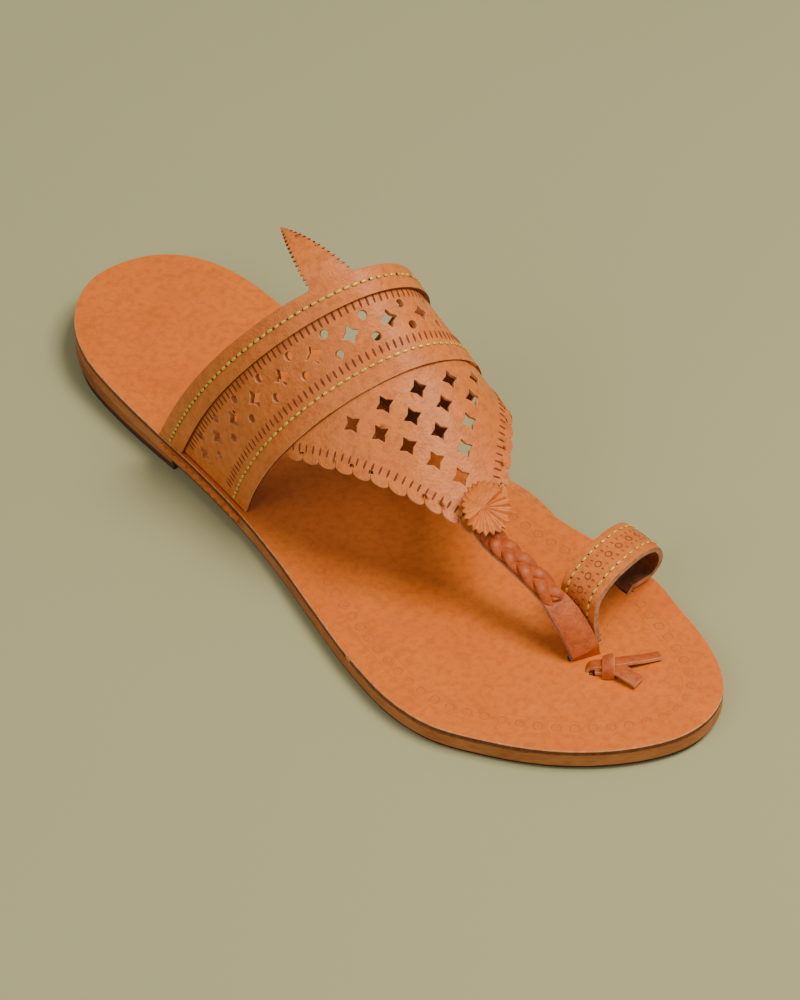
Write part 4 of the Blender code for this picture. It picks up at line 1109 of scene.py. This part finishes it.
# The ring's cut edge is waxed without dye, lighter than its face.
ring_edge = flat_leather("waxed_ring_edge", "#D0A078", "#9C6A44", 0.7, 0.0001)
ring = leather_piece("toe_ring_band", points, faces, [band_leather, flesh_side, ring_edge],
                     slots, bevel=0.00025)
fix_on(ring, "toe_ring", "toe_ring")


def ring_path(back, start=0.03, end=0.93, lift=0.0001):
    """Path round the ring's outer face, a distance back from its front edge."""
    points, normals = [], []
    for share in np.linspace(start, end, 160):
        points.append(ring_point(share, -lift, back))
        normals.append(ring_out(share))
    return np.array(points), np.array(normals)


ring_rows = [ring_path(back) for back in (RING_STITCH_INSET, RING_BAND - RING_STITCH_INSET)]
row_of_marks("toe_ring", "ring_stitches", ring_rows, gold_thread, RING_STITCH_PITCH,
             along=0.0020, across=0.0008, thick=0.0006, uneven=0.12, seed=7)
row_of_marks("toe_ring", "ring_needle_holes", [path_from(p, RING_STITCH_PITCH / 2) for p in ring_rows],
             needle_hole, RING_STITCH_PITCH, along=0.0007, across=0.0006, thick=0.0002)
# The ring's tooling is deep and rubbed with dye, so it reads darker than the insole's.
ring_stamp = flat_leather("tooled_ring_mark", "#9A4F2A", "#7C3B1E", 0.6, 0.0001)
middle_row, *dash_rows = [ring_path(RING_BAND / 2 + aside, 0.04, 0.90, ON_FACE)
                          for aside in (0.0, -RING_DASH_ROWS, RING_DASH_ROWS)]
row_of_marks("toe_ring", "ring_tooled_rings", [middle_row], ring_stamp, pitch=0.0042,
             along=0.0021, across=0.0021, thick=0.0010, uneven=0.05, seed=2, ring=True)
row_of_marks("toe_ring", "ring_tooled_dashes", [path_from(row, 0.0006) for row in dash_rows],
             ring_stamp, pitch=0.0021, along=0.0005, across=0.0012, thick=0.00016, uneven=0.15)

line = np.linspace(bed_point(RING_FEET[0]), bed_point(RING_FEET[1]), 40)[3:-4]
line = line + (0.0, 0.0, 2 * ON_FACE)
row_of_marks("insole", "insole_ring_stitches", [(line, np.tile((0.0, 0.0, 1.0), (len(line), 1)))],
             stamp, pitch=0.0021, along=0.0014, across=0.0005, thick=0.0003)

# Toe strap: a flat strap from under the flap's tip down to its slit between the toes. Three thongs
# are plaited over its upper part, and below the plait it is plain.
PLAIT_RAISE = 0.0021
PLAIT_END = 0.76
STRAP_SIDE_ROOM = 0.00015
STRAP_SPREAD_FROM = 0.05
STRAP_SPREAD = 0.12
BASE_PLY = 0.0014
TOP_PLY = 0.0009
BASE_PLY_WIDE = 0.0064
TOP_PLY_WIDE = 0.0068
STRAP_AT = (0.515, 1.92)
STRAP_LEAVES = (0.515, 2.17)
STRAP_UNDER = 0.13
STRAP_BOW = 0.15
STRAP_ARRIVE = 0.30
STRAP_HUMP = 0.0120
STRAP_CLEAR = 0.0016


def strap_route(share):
    """Underside of the toe strap, along under the flap's tip and then down to the slit."""
    ends = [on_upper(*spot) for spot in (STRAP_AT, STRAP_LEAVES)]
    drop = UPPER_WALL + GAP + PLAIT_BASE + PLAIT_RAISE
    first, leave = [p - n * drop for p, n in ends]
    if share < STRAP_UNDER:
        return first + (leave - first) * share / STRAP_UNDER
    low = sum(strap_foot()) / 4 + np.array((0.0, 0.0, STRAP_CLEAR))
    bow = leave + direction(leave - first) * np.linalg.norm(low - leave) * STRAP_BOW
    arrive = low + (leave - low) * STRAP_ARRIVE + np.array((0.0, 0.0, STRAP_HUMP))
    t = (share - STRAP_UNDER) / (1 - STRAP_UNDER)
    return (leave * (1 - t) ** 3 + bow * 3 * t * (1 - t) ** 2 + arrive * 3 * t**2 * (1 - t)
            + low * t**3)


def strap_frame(share):
    """Point, run, across and up of the strap at a share of its route."""
    ends = direction(bed_point(STRAP_SLIT[1]) - bed_point(STRAP_SLIT[0]))
    run = direction(strap_route(share + 0.01) - strap_route(share - 0.01))
    across = np.array((1.0, 0.0, 0.0)) * (1 - share**3) + ends * share**3
    across = direction(across - run * (across @ run))
    up = np.cross(across, run)
    return strap_route(share), run, across, up * np.sign(up[2])


def ribbon_loop(middle, across, up, width, thick, crown=0.0):
    """Rounded strip section: seven points over the top, two below."""
    top = [middle + across * width * c / 2 + up * (thick - (0.2 * thick + crown) * c * c)
           for c in np.linspace(1, -1, 7)]
    return [middle + across * width / 2, *top, middle - across * width / 2]


# Handling and oil have turned the plaited leather a deeper brown. Its sides are cut and left raw,
# a greyish tan.
raw_strap_edge = flat_leather("raw_strap_edge", "#B8987A", "#8A6A50", 0.8, 0.0001)
strap_leather = grain_leather("worked_strap_leather", "#C05C26", "#AA4C1C", "#6C2C0C",
                              grain_mm=0.7, relief=0.00030, roughness=0.48)
# Round a ribbon: a cut side, the grain over its top, the other cut side, the flesh side below.
RIBBON_SLOTS = [2, 0, 0, 0, 0, 0, 0, 2, 1]
for name, start, width, low, thick in (
        ("strap_base", 0.0, BASE_PLY_WIDE, 0.0, BASE_PLY),
        ("strap_top_ply", PLAIT_END - STRAP_SPREAD_FROM, TOP_PLY_WIDE, BASE_PLY, TOP_PLY)):
    loops = []
    for share in np.linspace(start, 1.0, 60):
        point, run, across, up = strap_frame(share)
        spread = min(max((share - PLAIT_END + STRAP_SPREAD_FROM) / STRAP_SPREAD, 0.0), 1.0)
        wide = width + (STRAP_END_WIDTH - 2 * STRAP_SIDE_ROOM - width) * spread
        loops.append(ribbon_loop(point + up * low, across, up, wide, thick, crown=0.0002))
    corners = strap_foot()
    across, ahead = direction(corners[0] - corners[1]), direction(corners[2] - corners[1])
    for drop in (GAP, -INSOLE):
        middle = (corners[0] + corners[1]) / 2 + ahead * low + np.array((0, 0, drop))
        loops.append(ribbon_loop(middle, across, ahead, STRAP_END_WIDTH - 2 * STRAP_SIDE_ROOM, thick))
    points, faces = loft(loops)
    slots = loft_slots(RIBBON_SLOTS, faces)
    ply = leather_piece(name, points, faces, [strap_leather, flesh_side, raw_strap_edge], slots,
                        bevel=0.00015)
    if name == "strap_base":
        fix_on(ply, "toe_strap", "toe_strap")
    else:
        fix_on(ply, "toe_strap")

THONGS = 3
PLAIT_TURNS = 2.2
THONG_WIDE = 0.0037
THONG_THICK = 0.0019
PLAIT_STATIONS = 150
PLAIT_SWAY = 0.001848
PLAIT_OVER = 0.0008
PLAIT_LIFT = BASE_PLY + 0.0009
for thong in range(THONGS):
    route = []
    for share in np.linspace(0.02, PLAIT_END, PLAIT_STATIONS):
        point, run, across, up = strap_frame(share)
        turn = 2 * math.pi * (PLAIT_TURNS * share / PLAIT_END + thong / THONGS)
        over = PLAIT_OVER * math.sin(2 * turn)
        route.append((point + across * PLAIT_SWAY * math.sin(turn) + up * (PLAIT_LIFT + over), up))
    loops = []
    for k, (point, up) in enumerate(route):
        run = direction(route[min(k + 1, PLAIT_STATIONS - 1)][0] - route[max(k - 1, 0)][0])
        flat = direction(np.cross(up, run))
        stand = direction(np.cross(run, flat))
        fade = min(1.0, 0.55 + (len(route) - k) / 18)
        loops.append([point + flat * math.cos(t) * THONG_WIDE / 2 * fade
                      + stand * math.copysign(abs(math.sin(t)) ** 0.8, math.sin(t)) * THONG_THICK / 2
                      for t in np.linspace(0, 2 * math.pi, 15)[:-1]])
    piece = leather_piece(f"plait_thong_{thong + 1}", *loft(loops), [strap_leather], angle=60)
    fix_on(piece, "toe_strap")

# Rosette: a round of leather with a pinked edge, pinched across its middle and pleated, sewn over
# the place where the plait leaves the flap.
ROSETTE_AT = (0.517, 2.04)
ROSETTE = 0.0158
ROSETTE_WALL = 0.0010
ROSETTE_SIDES = 192
ROSETTE_TEETH = 24
PLEATS = 17
PLEAT = 0.00050
ROSETTE_CUP = 0.0016
LOBE_LIFT = 0.0009
FAN_LIFT = 0.0008
ROSETTE_LIFT = 0.0008
ROSETTE_RINGS = (0.05, 0.16, 0.30, 0.45, 0.60, 0.74, 0.87, 1.0)
FAN_TURN = math.radians(70)
centre, normal = on_upper(*ROSETTE_AT)
first = direction(on_upper(ROSETTE_AT[0] + 0.01, ROSETTE_AT[1])[0] - centre)
second = direction(np.cross(normal, first))
centre = centre - normal * (UPPER_WALL - FLAP_WALL)
sides = ROSETTE_SIDES
sheets = [[], []]
for ring_share in ROSETTE_RINGS:
    for k in range(sides):
        turn = 2 * math.pi * k / sides
        tooth = abs(2 * (k * ROSETTE_TEETH / sides % 1) - 1)
        fan = 0.5 + 0.5 * math.cos(turn + FAN_TURN)
        lobe = min(max((0.56 - fan) / 0.10, 0.0), 1.0)
        radius = ROSETTE / 2 * ring_share * (0.90 + 0.18 * fan) * (1 - 0.15 * tooth * ring_share**3)
        pleat = math.sin(PLEATS * turn + 0.9 * math.sin(2 * turn)) * (0.12 + 0.88 * (1 - lobe))
        shell = ROSETTE_CUP * ring_share**2 * (1 - fan) + LOBE_LIFT * lobe * ring_share**0.5
        height = shell + FAN_LIFT * ring_share * fan + PLEAT * pleat * ring_share**0.7
        height += GAP + ROSETTE_LIFT
        spot = centre + first * radius * math.cos(turn) + second * radius * math.sin(turn)
        sheets[0].append(spot + normal * (height + ROSETTE_WALL))
        sheets[1].append(spot + normal * height)
points = sheets[0] + sheets[1]
half = len(sheets[0])
faces = [tuple(range(sides)), tuple(half + k for k in range(sides))[::-1]]
slots = [0, 1]
for i in range(len(ROSETTE_RINGS) - 1):
    for k in range(sides):
        n = (k + 1) % sides
        quad = (i * sides + k, (i + 1) * sides + k, (i + 1) * sides + n, i * sides + n)
        faces += [quad, tuple(half + v for v in reversed(quad))]
        slots += [0, 1]
rim = half - sides
for k in range(sides):
    n = (k + 1) % sides
    faces.append((rim + k, half + rim + k, half + rim + n, rim + n))
    slots.append(2)
rosette = leather_piece("pleated_rosette", points, faces, [band_leather, flesh_side, cut_side_and_highlight],
                        slots, angle=60)
fix_on(rosette, "rosette", "rosette")

# Knot: the thong that holds the toe strap comes up through its own slit and is knotted, its two
# flat ends lying forward on the insole.


def thong_piece(name, route, width, thick, twist=0.0):
    """Flat thong along a smooth line through points, with raw ends and edges."""
    line = []
    for k in range(len(route) - 1):
        p0, p1 = route[max(k - 1, 0)], route[k]
        p2, p3 = route[k + 1], route[min(k + 2, len(route) - 1)]
        for t in np.linspace(0, 1, 9)[:-1]:
            line.append(0.5 * (2 * p1 + (p2 - p0) * t + (2 * p0 - 5 * p1 + 4 * p2 - p3) * t**2
                               + (3 * p1 - p0 - 3 * p2 + p3) * t**3))
    line.append(route[-1])
    loops = []
    for k, point in enumerate(line):
        run = direction(line[min(k + 1, len(line) - 1)] - line[max(k - 1, 0)])
        flat = direction(np.array((run[1], -run[0], 0.0)))
        up = direction(np.cross(flat, run))
        turn = twist * k / len(line)
        flat, up = (flat * math.cos(turn) + up * math.sin(turn),
                    up * math.cos(turn) - flat * math.sin(turn))
        loops.append(ribbon_loop(point, flat, up, width, thick))
    points, faces = loft(loops)
    slots = loft_slots(RIBBON_SLOTS, faces)
    # The bevel's rims take the light cut colour: a painted highlight.
    return leather_piece(name, points, faces, [strap_leather, flesh_side, cut_side_and_highlight], slots,
                         bevel=0.00014, rim=2)


slit = bed_point(KNOT_SLIT)
heart = bed_point(KNOT_AT)
ends = [bed_point(place, 0.0003) for place in KNOT_ENDS]
lift = np.array((0.0, 0.0, 1.0))
long_run = ends[0] - heart
short_run = ends[1] - heart
long_tail = thong_piece("knot_long_tail",
                        [slit - lift * INSOLE,
                         slit + lift * 0.0006,
                         heart + lift * 0.0022,
                         heart + long_run * 0.30 + lift * 0.0016,
                         heart + long_run * 0.65 + lift * 0.0006,
                         ends[0]], width=0.0034, thick=0.0012, twist=0.25)
fix_on(long_tail, "knot", "knot")
short_tail = thong_piece("knot_short_tail",
                         [slit + lift * 0.0004 + direction(short_run) * 0.0015,
                          heart - direction(long_run) * 0.0012 + lift * 0.0008,
                          heart + short_run * 0.25 + lift * 0.0016,
                          heart + short_run * 0.62 + lift * 0.0014,
                          ends[1] + lift * 0.0004], width=0.0044, thick=0.0013)
fix_on(short_tail, "knot")
across = direction(np.cross(lift, direction(long_run + short_run)))
wrap = thong_piece("knot_wrap",
                   [heart - across * 0.0030 + lift * 0.0003,
                    heart - across * 0.0022 + lift * 0.0026,
                    heart + lift * 0.0036,
                    heart + across * 0.0022 + lift * 0.0028,
                    heart + across * 0.0032 + lift * 0.0003], width=0.0034, thick=0.0011, twist=0.5)
fix_on(wrap, "knot")
